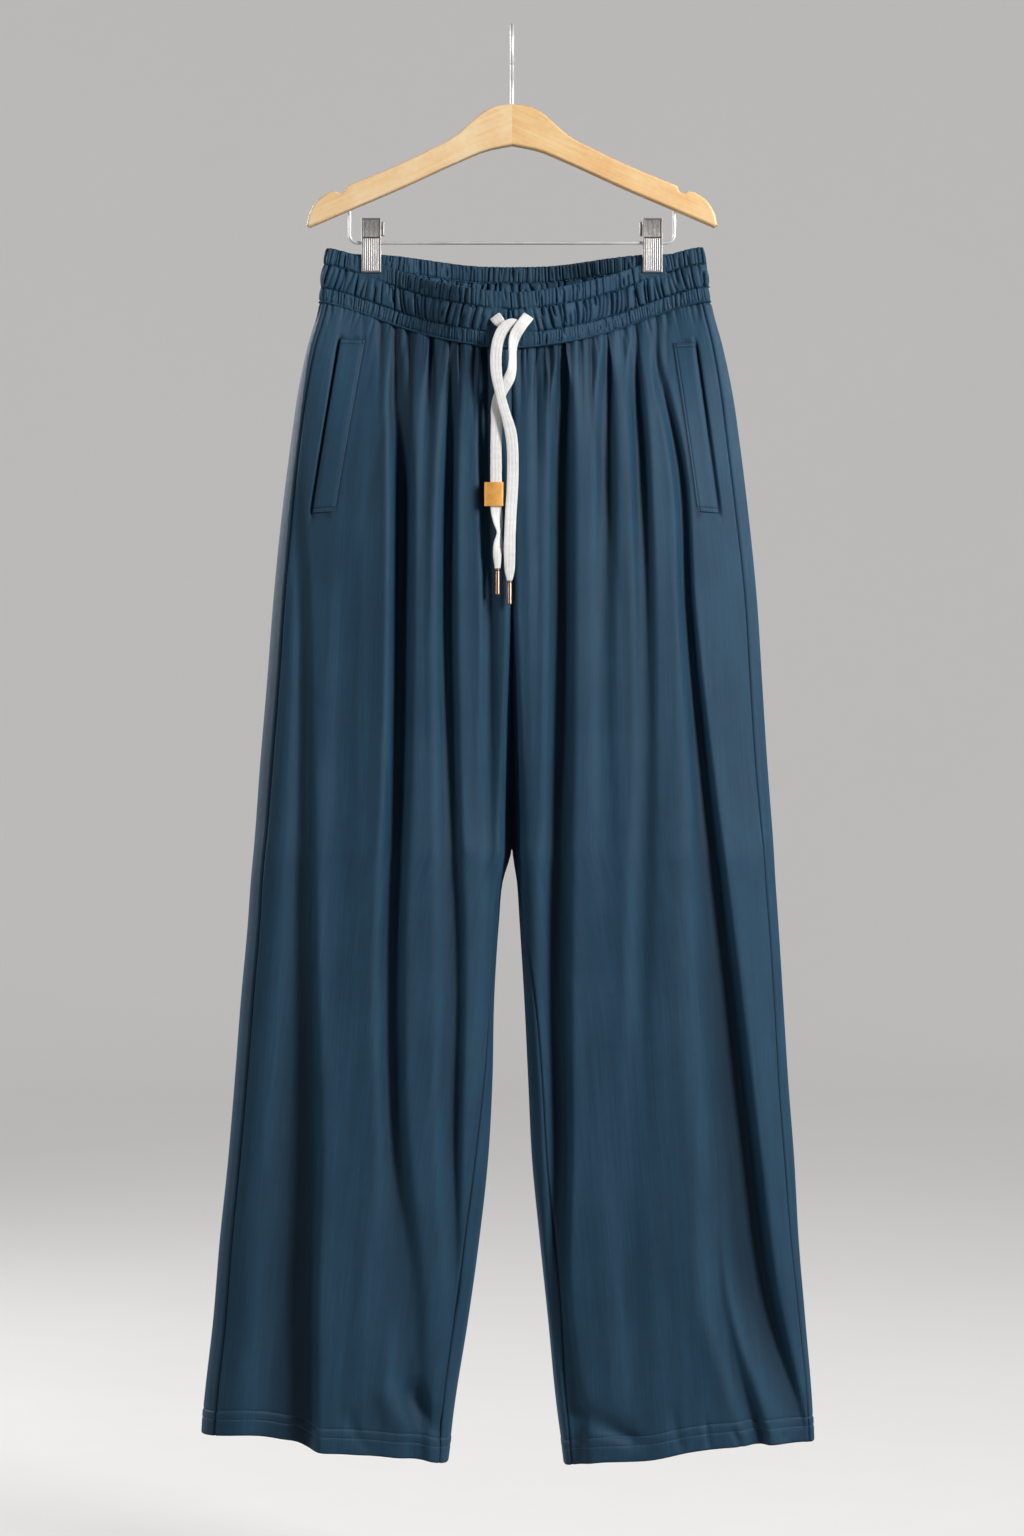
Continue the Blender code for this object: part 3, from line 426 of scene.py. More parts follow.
def make_cord(name, route):
    """A flat braid swept along its route, closed at both ends."""
    total = run_of(np.array(route, float)[:, :3])[-1]
    track, at = resampled(route, int(total / CORD_STEP))
    middle = track[:, :3]
    along = np.gradient(middle, axis=0)
    along /= np.linalg.norm(along, axis=1, keepdims=True)
    turn = np.radians(track[:, 3])
    facing = np.stack([np.sin(turn), -np.cos(turn), 0 * turn], axis=-1)
    flat = np.cross(along, facing)
    flat /= np.linalg.norm(flat, axis=1, keepdims=True)
    thick = np.cross(flat, along)
    round_it = np.linspace(0, math.tau, RING_POINTS, endpoint=False)
    wide = rounded_square(np.cos(round_it), 0.62)
    deep = rounded_square(np.sin(round_it), 0.8)
    half = track[:, 4] * CORD_WIDTH / 2 - STRAND_RELIEF
    across = half[:, None] * wide[None, :]
    strands = np.sin(math.tau * (at[:, None] + across) / STRAND_PITCH)
    strands = strands * np.sin(math.tau * (at[:, None] - across) / STRAND_PITCH)
    swell = 1 + 0.18 * np.sin(math.tau * at / 31)[:, None]
    lift = (CORD_THICK / 2 - STRAND_RELIEF) * swell * deep[None, :]
    lift = lift + STRAND_RELIEF * strands * np.sign(deep)[None, :]
    bm = bmesh.new()
    map_layer = bm.loops.layers.uv.new("cord")
    rings = []
    for k in range(len(at)):
        spots = middle[k] + across[k][:, None] * flat[k] + lift[k][:, None] * thick[k]
        rings.append([bm.verts.new(spot) for spot in spots * MM])
    for k in range(len(at) - 1):
        for n in range(RING_POINTS):
            m = (n + 1) % RING_POINTS
            face = bm.faces.new((rings[k][n], rings[k][m], rings[k + 1][m], rings[k + 1][n]))
            for loop, (a, b) in zip(face.loops, ((k, n), (k, n + 1), (k + 1, n + 1), (k + 1, n))):
                loop[map_layer].uv = (b / RING_POINTS * CORD_WIDTH * 2 * MM, at[a] * MM)
    bm.faces.new(rings[0][::-1])
    bm.faces.new(rings[-1])
    bmesh.ops.recalc_face_normals(bm, faces=bm.faces)
    piece = finish_mesh(name, bm, braid, sharp=80.0)
    print(name, "is", round(total), "mm long")
    return piece, total * MM


cord_left, length_left = make_cord("braid_left", CORD_LEFT)
cord_right, length_right = make_cord("braid_right", CORD_RIGHT)
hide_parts("drawcord_left")
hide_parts("drawcord_right")

# %% [markdown]
# ## Metal tips
# Each tail ends in a copper tube that is crimped on to the braid. A profile
# spun round its axis gives the tube, its bead where the braid goes in, and the
# rounded rim of its open end.

# %% Tips
TIP_RADIUS = 2.3
TIP_GAP = 0.3
TIP_STEPS = 32
copper, tree, shader = new_material("rose_copper", Metallic=1.0)
metal_place = object_place(tree)
tone = place_mottle(tree, metal_place, 60.0, (0.36, 0.165, 0.11), (0.47, 0.25, 0.18))
tree.links.new(tone, shader["Base Color"])
drawn = place_group(tree, streaks, Vector=metal_place, Across=(1.0, 1.0, 0.05), Fine=1800.0)["Mask"]
tree.links.new(spread(tree, drawn, 0.26, 0.38), shader["Roughness"])


def spin_profile(bm, profile, centre):
    """Spin (radius, height) points round an upright axis into a closed shape."""
    verts = [bm.verts.new(Vector((r, 0, z)) * MM) for r, z in profile]
    edges = [bm.edges.new(pair) for pair in zip(verts, verts[1:])]
    bmesh.ops.spin(
        bm, geom=verts + edges, cent=(0, 0, 0), axis=(0, 0, 1), angle=math.tau, steps=TIP_STEPS,
        use_merge=True,
    )
    bmesh.ops.remove_doubles(bm, verts=bm.verts, dist=1e-7)
    bmesh.ops.recalc_face_normals(bm, faces=bm.faces)
    bmesh.ops.translate(bm, verts=bm.verts, vec=Vector(centre) * MM)


def make_tip(name, end, length, node_name):
    r = TIP_RADIUS
    profile = [
        (0, 0), (r * 0.72, 0), (r * 0.93, -0.2), (r, -0.6), (r, -1.3), (r * 0.9, -1.7), (r * 0.9, -2.2),
        (r * 0.96, -2.6), (r * 0.96, -length + 1.2), (r, -length + 0.8), (r * 0.97, -length + 0.25),
        (r * 0.86, -length), (r * 0.66, -length + 0.1), (r * 0.6, -length + 0.9), (0, -length + 1.1),
    ]
    bm = bmesh.new()
    spin_profile(bm, profile, (end.x, end.y, end.z - TIP_GAP))
    piece = finish_mesh(name, bm, copper, sharp=50.0)
    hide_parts(node_name)
    return piece


tip_left = make_tip("tip_left", CORD_LEFT[-1], 21.0, "cord_tip_left")
tip_right = make_tip("tip_right", CORD_RIGHT[-1], 23.0, "cord_tip_right")
print("tips:", tip_left.name, "and", tip_right.name)

# %% [markdown]
# ## The tan tab
# A small strip of tan leather is folded round the left-hand tail, and its two
# ends are sewn together beside it. One closed outline seen from above, moved
# down in a few steps, gives the folded strip. Its face is left plain.

# %% Tab
TAB_TOP = -413.4
TAB_LOW = -434.5
TAB_LEFT = -24.4
TAB_WALL = 1.3
TAB_MIDDLE = (-14.1, -53.9)     # where the cord passes through it, from above
tan_leather, tree, shader = new_material("tan_leather", Roughness=0.5, Specular_IOR_Level=0.45)
skin_place = object_place(tree)
tone = place_mottle(tree, skin_place, 160.0, (0.8, 0.36, 0.07), (1.0, 0.52, 0.13))
tree.links.new(tone, shader["Base Color"])
grain = node(tree, "ShaderNodeTexVoronoi", Vector=skin_place, Scale=1400.0)
add_bump(tree, shader, grain.outputs["Distance"], 0.4, 0.0002)


def tab_turn(half_in, grow):
    """The strip from above, where it turns round the cord's right edge."""
    right = TAB_MIDDLE[0] + CORD_WIDTH / 2 - half_in + 0.5
    turn = np.radians(np.linspace(-90, 90, 9))
    return [(right + (half_in + grow) * math.cos(a), (half_in + grow) * math.sin(a)) for a in turn]


def make_tab():
    middle_x, middle_y = TAB_MIDDLE
    inside = CORD_THICK / 2 + 0.3
    pinch_x = middle_x - CORD_WIDTH / 2 - 1.5
    outer = [(TAB_LEFT, -TAB_WALL), (pinch_x, -TAB_WALL - 0.1), (pinch_x + 2.2, -inside - TAB_WALL)]
    outer += tab_turn(inside, TAB_WALL)
    outer += [(pinch_x + 2.2, inside + TAB_WALL), (pinch_x, TAB_WALL + 0.1), (TAB_LEFT, TAB_WALL)]
    loop = [(pinch_x + 1.0, 0.0), (pinch_x + 2.6, -inside)]
    loop += tab_turn(inside, 0.0) + [(pinch_x + 2.6, inside)]
    bm = bmesh.new()
    rings = []
    for ring in (outer, loop):
        rings.append([bm.verts.new(Vector((x, middle_y + y, TAB_TOP)) * MM) for x, y in ring])
    edges = []
    for ring in rings:
        edges += [bm.edges.new((ring[k], ring[(k + 1) % len(ring)])) for k in range(len(ring))]
    bmesh.ops.bridge_loops(bm, edges=edges)
    grown = bmesh.ops.extrude_face_region(bm, geom=list(bm.faces))
    moved = [item for item in grown["geom"] if isinstance(item, bmesh.types.BMVert)]
    bmesh.ops.translate(bm, verts=moved, vec=Vector((0, 0, TAB_LOW - TAB_TOP)) * MM)
    bmesh.ops.recalc_face_normals(bm, faces=bm.faces)
    piece = finish_mesh("folded_tab", bm, tan_leather, sharp=35.0)
    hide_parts("cord_tab")
    return piece


folded_tab = make_tab()


print("the tab is", folded_tab.name)

# %% [markdown]
# ## The form of the cloth
# The pants hang nearly flat. Each leg is a closed, rounded section, and above
# the crotch the two merge into one oval. The rows below give the edges and the
# depth at each height. The folds are grooves that start narrow at the waist
# seam, open within a few centimetres and run down the leg. Each one is placed
# at eight heights: where it lies, how deep it goes, and how wide its
# left and right walls are. A single number stands for the same at all heights.

# %% Tables of the cloth's form
CLOTH = 1.4             # thickness of a panel
BAND_CLOTH = 2.4        # and of the waistband, which is doubled
SEAM_GAP = 0.3
BAND_HEIGHT = 50.0
SIDE_TOP = -197.0       # the band's top edge at the side seams
BACK_TOP = -201.0       # and in the middle of the back, but for its sag
FRONT_SAG = 47.0        # how much lower the band hangs in the middle
BACK_SAG = 8.0
SAG_SPAN = 176.0
CROTCH = -740.0
FRONT_RISE = 225.0      # how far above the crotch the legs have become one oval
BACK_RISE = 255.0
CLIP_X = 126.5
OVAL_POWER = 2.3        # roundness of a section: 2 is an ellipse, more is boxier
INNER_POWER = 3.2
ROOM_DEPTH = 16.0       # folds fade out where the cloth lies flatter than this

Section = namedtuple("Section", "height left_side left_inner right_inner right_side front back")
SECTIONS = [
    Section(-196, -167.0, 0, 0, 172.0, 50, 40), Section(-212, -169.5, 0, 0, 175.0, 50, 40),
    Section(-235, -172.5, 0, 0, 177.0, 49, 40), Section(-252, -175.0, 0, 0, 180.5, 48, 41),
    Section(-289, -185.5, 0, 0, 190.5, 46, 43), Section(-335, -194.0, 0, 0, 200.0, 46, 46),
    Section(-371, -199.0, 0, 0, 205.0, 46, 48), Section(-443, -208.0, 0, 0, 213.5, 47, 50),
    Section(-515, -215.0, 0, 0, 220.5, 48, 51), Section(-587, -220.5, 0, 0, 225.0, 48, 51),
    Section(-659, -226.5, 0, 0, 229.5, 47, 50), Section(-740, -232.5, 0, 0, 235.5, 46, 48),
    Section(-767, -235.0, -8.0, 4.0, 237.0, 45, 47), Section(-803, -237.5, -11.5, 6.5, 239.5, 44, 46),
    Section(-875, -244.0, -16.0, 11.0, 244.0, 43, 45), Section(-947, -249.5, -17.5, 14.5, 248.5, 42, 44),
    Section(-1019, -255.5, -21.5, 18.0, 254.0, 41, 43), Section(-1091, -263.0, -29.5, 25.0, 258.0, 40, 42),
    Section(-1163, -269.0, -39.5, 32.5, 264.0, 39, 41), Section(-1235, -277.0, -51.0, 39.5, 270.0, 38, 40),
    Section(-1292, -281.0, -58.0, 47.0, 272.5, 37, 39),
]
Inset = namedtuple("Inset", "height left_side right_side left_inner right_inner")
INSETS = [
    Inset(-250, 8.0, 8.5, 0, 0), Inset(-335, 9.0, 12.0, 0, 0), Inset(-515, 11.5, 11.5, 0, 0),
    Inset(-740, 11.5, 10.0, 0, 0), Inset(-790, 12.0, 9.5, 1.2, 3.0), Inset(-875, 12.5, 9.0, 3.0, 9.5),
    Inset(-1026, 12.0, 9.5, 11.5, 13.5), Inset(-1110, 12.5, 7.0, 13.0, 13.5),
    Inset(-1235, 13.0, 5.0, 10.0, 9.0), Inset(-1292, 13.5, 5.0, 7.0, 7.0),
]
FOLD_HEIGHTS = (-300, -400, -520, -680, -840, -1000, -1140, -1260)
Fold = namedtuple("Fold", "places depths left_walls right_walls")
FRONT_FOLDS = [
    # the left leg, from the side to the middle
    Fold((-191, -193, -187, -185, -184, -184, -185, -186), (0, 1, 5, 9, 14, 20, 23, 23),
         (7, 7, 8, 13, 21, 31, 38, 42), (6, 5, 6, 7, 8, 11, 9, 10)),
    Fold((-150, -150, -148, -152, -157, -157, -157, -157), (0, 0, 2, 3, 1.5, 0, 0, 0),
         (10, 10, 10, 12, 14, 14, 14, 14), (10, 10, 10, 12, 14, 14, 14, 14)),
    Fold((-126, -123, -121, -120, -120, -120, -121, -122), (1, 0.5, 0, 0, 0, 0, 2, 1.5),
         (8, 9, 10, 10, 9, 8, 8, 9), (8, 8, 8, 9, 9, 9, 10, 10)),
    Fold((-104, -99.5, -99.5, -102, -107, -104, -91, -84), (7, 18, 19, 18, 16, 14, 8, 8),
         (7, 8, 8, 9, 11, 12, 24, 12), (8, 9, 9, 9, 9, 9, 12, 9)),
    Fold((-72, -77, -79, -81, -83, -83, -83, -83), (5, 2.5, 1, 0, 0, 0, 0, 0),
         6, 5),
    Fold((-52, -55, -57, -55, -51, -53, -52, -52), (6, 14, 14, 12, 11, 11, 3, 0),
         (7, 8, 9, 10, 13, 11, 8, 7), (5, 5, 6, 7, 8, 7, 6, 6)),
    Fold((-25, -24, -21, -21, -23, -28, -33, -38), (4, 7, 7, 5, 1.5, 0, 0, 0),
         (5, 5, 5, 6, 6, 6, 6, 6), 7),
    # the crotch seam sinks between the legs
    Fold(0, (1, 2, 5, 20, 24, 0, 0, 0),
         (3, 3, 3.2, 6.5, 9, 8, 8, 8), (3, 3, 3.2, 6.5, 9, 8, 8, 8)),
    # the right leg, from the middle to the side
    Fold((26, 25, 26, 26, 25, 25, 25, 25), (5, 5, 4, 2, 0.5, 0, 0, 0),
         8, 8),
    Fold((45, 43, 43, 42, 41, 45, 44, 58), (12, 17, 18, 18, 18, 17, 11, 6),
         (8, 10, 10, 11, 14, 13, 11, 9), (7, 9, 9, 9, 8, 6, 6, 8)),
    Fold((84, 84, 81.5, 82, 89, 97, 106, 111), (12, 9.5, 6, 2.5, 1, 1.5, 4, 1.5),
         (7, 8, 9, 10, 12, 14, 14, 14), (6, 7, 8, 9, 12, 14, 14, 14)),
    Fold((110, 115, 118, 118, 113, 112, 112, 112), (14, 12, 8.5, 5.5, 4.5, 1, 0, 0),
         (7, 8, 8, 8, 10, 10, 10, 10), (5, 6, 7, 8, 10, 10, 10, 10)),
    Fold((129, 149, 156, 172, 190, 208, 227, 260), (9, 10, 12, 16, 20, 23, 22, 9),
         (5, 6, 7, 14, 26, 32, 33, 17), (4, 5, 5, 6, 8, 9, 9, 7)),
    Fold((160, 165, 169, 174, 178, 180, 184, 220), (0, 0, 0, 0, 0, 1.5, 7, 12),
         (8, 8, 8, 8, 8, 10, 13, 11), (7, 7, 7, 7, 7, 8, 8, 7)),
]
BACK_FOLDS = [
    Fold((-151, -156, -160, -168, -172, -176, -184, -192), (5, 6, 7, 9, 9, 9, 10, 10),
         (7, 8, 9, 12, 15, 18, 20, 22), (5, 5, 6, 6, 6, 5, 5, 5)),
    Fold((-106, -112, -117, -128, -126, -128, -134, -140), (9, 11, 12, 10, 8, 7, 6, 4),
         (6, 7, 8, 9, 9, 11, 12, 12), (6, 6, 7, 8, 9, 10, 10, 10)),
    Fold((-70, -72, -75, -82, -86, -88, -91, -94), (8, 9, 10, 10, 11, 11, 10, 8),
         (7, 7, 8, 9, 10, 11, 11, 11), (5, 6, 6, 6, 7, 7, 7, 7)),
    Fold((-34, -36, -38, -40, -43, -47, -54, -60), (8, 9, 9, 7, 3, 2, 1, 0),
         (6, 6, 7, 8, 9, 9, 9, 9), (6, 6, 6, 7, 8, 8, 8, 8)),
    Fold((30, 32, 34, 38, 42, 46, 53, 60), (8, 9, 10, 7, 4, 2, 1, 0),
         (5, 5, 6, 7, 8, 8, 8, 8), (6, 7, 7, 8, 9, 9, 9, 9)),
    Fold((72, 75, 79, 84, 82, 82, 84, 87), (8, 10, 11, 11, 11, 11, 10, 8),
         (6, 6, 7, 7, 7, 8, 8, 8), (7, 8, 8, 9, 10, 11, 12, 12)),
    Fold((112, 115, 120, 132, 138, 142, 146, 148), (9, 10, 9, 8, 7, 6, 5, 3),
         (6, 7, 7, 8, 9, 10, 11, 11), (6, 6, 7, 9, 10, 11, 11, 11)),
    Fold((154, 160, 167, 176, 181, 187, 196, 208), (5, 7, 9, 10, 10, 10, 10, 9),
         (5, 5, 6, 7, 7, 7, 6, 6), (7, 8, 9, 12, 14, 17, 18, 18)),
]
Hem = namedtuple("Hem", "place height")
LEFT_HEM = [
    Hem(-281, -1263), Hem(-222, -1262), Hem(-207, -1265.5), Hem(-189, -1269.5), Hem(-184, -1272),
    Hem(-171, -1274.5), Hem(-150, -1276), Hem(-90, -1281.5), Hem(-58, -1288),
]
RIGHT_HEM = [
    Hem(47, -1290), Hem(74, -1285), Hem(122, -1282), Hem(162, -1274), Hem(220, -1269), Hem(272.5, -1270),
]
FOLD_FLATNESS = 2.6     # 2 gives a fold a round bottom, more gives it a flat one
SHOULDER_RISE = 0.3     # cloth pushed up beside a fold, as a share of its depth
SHOULDER_REACH = 2.3    # and how far that reaches, as a multiple of its wall
FOLD_NECK = 0.28        # a fold's width at the waist seam, as a share of its own
FOLD_OPENS = 62.0       # and how far below the seam it has its whole width
print("folds in front:", len(FRONT_FOLDS))


# %% [markdown]
# One function says where the cloth lies, by its height and by an angle round the
# leg, and every piece of cloth asks it. A fold is a valley with a flat bottom,
# and the cloth that it takes in stands up a little beside it.

# %% Where the cloth is
def rise(z, height):
    """0 at the crotch and below, 1 where the crotch seam reaches the face."""
    t = np.clip((z - CROTCH) / height, 0.0, 1.0)
    return (1 - (1 - t) ** 1.6) ** 0.8


def sag_share(x):
    """1 at the middle of the waist, where the band hangs lowest, 0 at its ends."""
    return np.cos(np.clip(np.abs(x) / SAG_SPAN, 0, 1) * math.pi / 2) ** 1.6


def fold_depth(folds, x, z, seam):
    """How far the folds go in at x, z. Just under the seam they are narrow."""
    total = np.zeros_like(x)
    opened = soft_step((seam - z) / FOLD_OPENS)
    narrow = FOLD_NECK + (1 - FOLD_NECK) * opened
    for fold in folds:
        place, depth, left, right = (
            smooth_at(FOLD_HEIGHTS, np.broadcast_to(column, len(FOLD_HEIGHTS)), z) for column in fold
        )
        off = x - place
        wall = np.where(off < 0, left, right) * narrow
        valley = np.exp(-(np.abs(off / wall) ** FOLD_FLATNESS))
        shoulder = SHOULDER_RISE * bell(off / wall, SHOULDER_REACH)
        total += np.clip(depth, 0, None) * (valley - shoulder)
    return total * (FOLD_NECK + (1 - FOLD_NECK) * np.sqrt(opened))


def by_clips(x, z, width, spread_out, low, fade):
    """1 at the two clips and above low, 0 away from them."""
    near = 1 - soft_step((np.abs(np.abs(x) - CLIP_X) - width) / spread_out)
    return near * (1 - soft_step((low - z) / fade))


def pinch(x, z):
    """1 where the clips hold front and back together, 0 away from them."""
    return by_clips(x, z, width=10.5, spread_out=90.0, low=-226.0, fade=184.0)


def press(x, z):
    """1 where a clip presses the gathers flat, 0 where they stand up."""
    return by_clips(x, z, width=9.5, spread_out=7.0, low=-221.0, fade=14.0)


def cloth_point(side, angle, z, folded=True):
    """A point of the cloth's outer surface, by its angle round the leg.

    The angle is 0 at the side edge and pi at the inner edge or middle seam. It
    is positive over the front and negative over the back.
    """
    angle, z = np.broadcast_arrays(np.asarray(angle, float), np.asarray(z, float))
    edge = column_at(SECTIONS, side + "_side", z)
    inner = np.where(z >= CROTCH, 0.0, column_at(SECTIONS, side + "_inner", z))
    is_front = np.sin(angle) >= 0
    reach = np.where(is_front, column_at(SECTIONS, "front", z), column_at(SECTIONS, "back", z))
    hips = np.where(is_front, rise(z, FRONT_RISE), rise(z, BACK_RISE))
    across = np.cos(angle)
    power = np.where(across > 0, OVAL_POWER, INNER_POWER)
    leg_x = (edge + inner) / 2 + (edge - inner) / 2 * across
    leg_y = (1 - np.abs(across) ** power) ** (1 / power)
    quarter = np.clip(np.abs(angle) / 2, 0, math.pi / 2)
    hip_x = edge * np.cos(quarter)
    hip_y = (1 - np.cos(quarter) ** OVAL_POWER) ** (1 / OVAL_POWER)
    x = (1 - hips) * leg_x + hips * hip_x
    depth = reach * ((1 - hips) * leg_y + hips * hip_y)
    held = pinch(x, z)
    depth = depth * (1 - held) + (BAND_CLOTH + SEAM_GAP / 2) * held
    if folded:
        room = 1 - bell(depth, ROOM_DEPTH)
        sag = sag_share(x)
        front = fold_depth(FRONT_FOLDS, x, z, SIDE_TOP - BAND_HEIGHT - FRONT_SAG * sag)
        back = fold_depth(BACK_FOLDS, x, z, BACK_TOP - BAND_HEIGHT - BACK_SAG * sag)
        depth = depth - np.where(is_front, front, back) * room * (1 - held) ** 0.45
    return np.stack([x, np.where(is_front, -depth, depth), z], axis=-1)


SMALL_TURN = 0.012      # radians round the cloth, to measure its slope
SMALL_DROP = 1.5        # millimetres down it


def outward(side, angle, z, folded):
    """Unit normals of the cloth, by small steps round it and down it."""
    limit = np.where(z >= CROTCH, math.pi, math.tau)
    after = cloth_point(side, np.clip(angle + SMALL_TURN, -limit, limit), z, folded)
    before = cloth_point(side, np.clip(angle - SMALL_TURN, -limit, limit), z, folded)
    lower, upper = (cloth_point(side, angle, z + drop, folded) for drop in (-SMALL_DROP, SMALL_DROP))
    normal = np.cross(after - before, lower - upper) * SIDES[side]
    return normal / np.linalg.norm(normal, axis=-1, keepdims=True)


def band_line(side, angle, below):
    """Height of a line round the waistband, so far below its top edge."""
    z = np.full(np.shape(angle), SIDE_TOP - below)
    for _ in range(4):
        x = cloth_point(side, angle, z, folded=False)[..., 0]
        sag = sag_share(x)
        front = SIDE_TOP - FRONT_SAG * sag
        back = BACK_TOP - BACK_SAG * sag
        at_side = soft_step((np.abs(x) - 120) / 50)
        back = back * (1 - at_side) + front * at_side
        z = np.where(np.sin(angle) >= 0, front, back) - below
    return z


def hem_height(side, x):
    table = LEFT_HEM if side == "left" else RIGHT_HEM
    return smooth_at([row.place for row in table], [row.height for row in table], x)


print("clips press", CLIP_X, "mm from the middle")


# %% [markdown]
# ## From points to cloth
# A sheet of cloth is a grid, so each piece starts with `create_grid`, and its
# points are then placed row by row. Extruding the whole grid gives the cloth
# its thickness and closes its rim in one step. The grid's own lengths become
# the map that the knit pattern follows.

# %% The sheet helper
def sheet_piece(name, outer, inner, material, painted_shade, sharp=75.0):
    """A closed sheet from two grids of points, in mm, with a map in metres.

    The painted shade has a table for each face: 1 deep in a fold or a seam, where the colour is darkened as
    shade, 0 outside.
    """
    rows, columns = outer.shape[:2]
    bm = bmesh.new()
    bmesh.ops.create_grid(bm, x_segments=columns - 1, y_segments=rows - 1, size=1.0)
    place = bm.verts.layers.int.new("place")
    outer_list = (outer.reshape(-1, 3) * MM).tolist()
    inner_list = (inner.reshape(-1, 3) * MM).tolist()
    for index, vert in enumerate(bm.verts):
        vert[place] = index
        vert.co = outer_list[index]
    grown = bmesh.ops.extrude_face_region(bm, geom=list(bm.faces))
    for item in grown["geom"]:
        if isinstance(item, bmesh.types.BMVert):
            item.co = inner_list[item[place]]
            item[place] += rows * columns
    bmesh.ops.recalc_face_normals(bm, faces=bm.faces)
    piece = finish_mesh(name, bm, material, sharp)
    mesh = piece.data
    order = np.empty(len(mesh.vertices), np.int32)
    mesh.attributes["place"].data.foreach_get("value", order)
    corner = np.empty(len(mesh.loops), np.int32)
    mesh.loops.foreach_get("vertex_index", corner)
    along = np.linalg.norm(np.diff(outer, axis=1), axis=-1).mean(axis=0)
    down = np.linalg.norm(np.diff(outer, axis=0), axis=-1).mean(axis=1)
    u = np.concatenate([[0], np.cumsum(along)])[None, :] + np.zeros((rows, 1))
    v = np.concatenate([[0], np.cumsum(down)])[:, None] + np.zeros((1, columns))
    spots = np.stack([u, -v], axis=-1).reshape(-1, 2) * MM
    layer = mesh.uv_layers.new(name="cloth")
    layer.uv.foreach_set("vector", spots[order[corner] % (rows * columns)].ravel())
    mesh.attributes.remove(mesh.attributes["place"])
    # painted shade: stored on each point as an attribute that darkens the colour
    depths = np.concatenate([np.ravel(face + 0 * outer[..., 0]) for face in painted_shade])
    shade = mesh.attributes.new("painted_shade", "FLOAT", "POINT")
    shade.data.foreach_set("value", np.clip(depths, 0, 1).astype(np.float32)[order])
    print(name, rows, "x", columns)
    return piece


# %% [markdown]
# ## Gathers
# A gathered edge has more cloth than seam, so it buckles into little pleats.
# Just under the seam they are narrow and close. Lower down they merge, and only
# the big ones run on. Three families of grooves, drawn with a fixed seed, copy
# that: fine, middle and broad ones, each fading out at its own length.

# %% Gathers
Family = namedtuple("Family", "pitch depth width reach")
LEG_GATHERS = [Family(3.7, 0.9, 0.85, 22), Family(9.5, 1.2, 1.5, 60), Family(29.0, 1.0, 5.5, 620)]
BACK_PLEATS = Family(11.0, 3.0, 2.2, 85)
Pleat = namedtuple("Pleat", "x depth width reach")
FRONT_PLEATS = [
    Pleat(-184, 1.6, 2.0, 60), Pleat(-162, 1.4, 1.8, 50), Pleat(-134, 2.0, 2.2, 50),
    Pleat(-118, 4.6, 2.6, 100), Pleat(-105, 6.0, 2.8, 110), Pleat(-92, 5.6, 2.8, 120),
    Pleat(-72, 4.6, 2.2, 80),
    Pleat(-56, 4.2, 1.8, 90), Pleat(-47, 4.4, 1.9, 70), Pleat(-34, 3.4, 2.0, 80), Pleat(-24, 3.8, 2.2, 100),
    Pleat(8, 2.6, 1.8, 60), Pleat(22, 3.4, 2.2, 110), Pleat(28, 2.0, 1.6, 50), Pleat(34, 4.6, 2.4, 90),
    Pleat(46, 4.4, 3.0, 120), Pleat(53, 3.0, 2.0, 70), Pleat(62, 2.8, 2.0, 80), Pleat(72, 4.4, 2.4, 95),
    Pleat(86, 3.8, 2.4, 120), Pleat(100, 2.6, 2.0, 80), Pleat(112, 3.4, 2.4, 110), Pleat(130, 3.2, 2.4, 110),
    Pleat(139, 2.6, 1.8, 90), Pleat(167, 1.6, 1.8, 50), Pleat(174, 1.6, 1.8, 60), Pleat(186, 1.8, 2.0, 70),
]


def draw_gathers(rng, family, span):
    """Places, depths, widths and lengths of one family, across the span."""
    count = int(span / family.pitch)
    spread = (np.arange(count) + rng.uniform(0.15, 0.85, count)) * span / count
    size = rng.uniform(0.5, 1.4, (3, count))
    return spread, family.depth * size[0], family.width * (0.6 + 0.4 * size[1]), family.reach * size[2]


def gather_relief(rng, across, below, families):
    """How far the gathers go in: across along the seam, below it down the leg."""
    total = np.zeros_like(below)
    low = across.min()
    span = across.max() - low
    for family in families:
        for place, depth, width, reach in zip(*draw_gathers(rng, family, span)):
            fade = np.clip(1 - below / reach, 0, 1) ** 1.3
            wander = rng.normal(0, 0.06) * below
            t = np.abs(across - low - place + wander) / (width * (1 + 1.6 * below / (reach + 20)))
            total += depth * fade * np.exp(-(t**1.6))
    return total


def pleat_relief(x, below, pleats):
    """Pleats placed one by one: deep at the seam, narrowing to a point below."""
    total = np.zeros_like(below)
    for pleat in pleats:
        run = np.clip(below / pleat.reach, 0, 1)
        width = pleat.width * (1.25 - 0.35 * run)
        total += pleat.depth * (1 - run) ** 1.1 * np.exp(-(np.abs((x - pleat.x) / width) ** 1.7))
    return total


print("kinds of gathers on a leg:", len(LEG_GATHERS))


# %% [markdown]
# ## The four leg panels
# The pants are cut from two fronts and two backs. Each panel runs from the
# waist seam to the hem. Its long edges roll in a little where it is sewn to its
# neighbour, and that groove is the seam one sees. The hem is turned up 22 mm
# and held by two rows of stitches, which pull two shallow grooves.

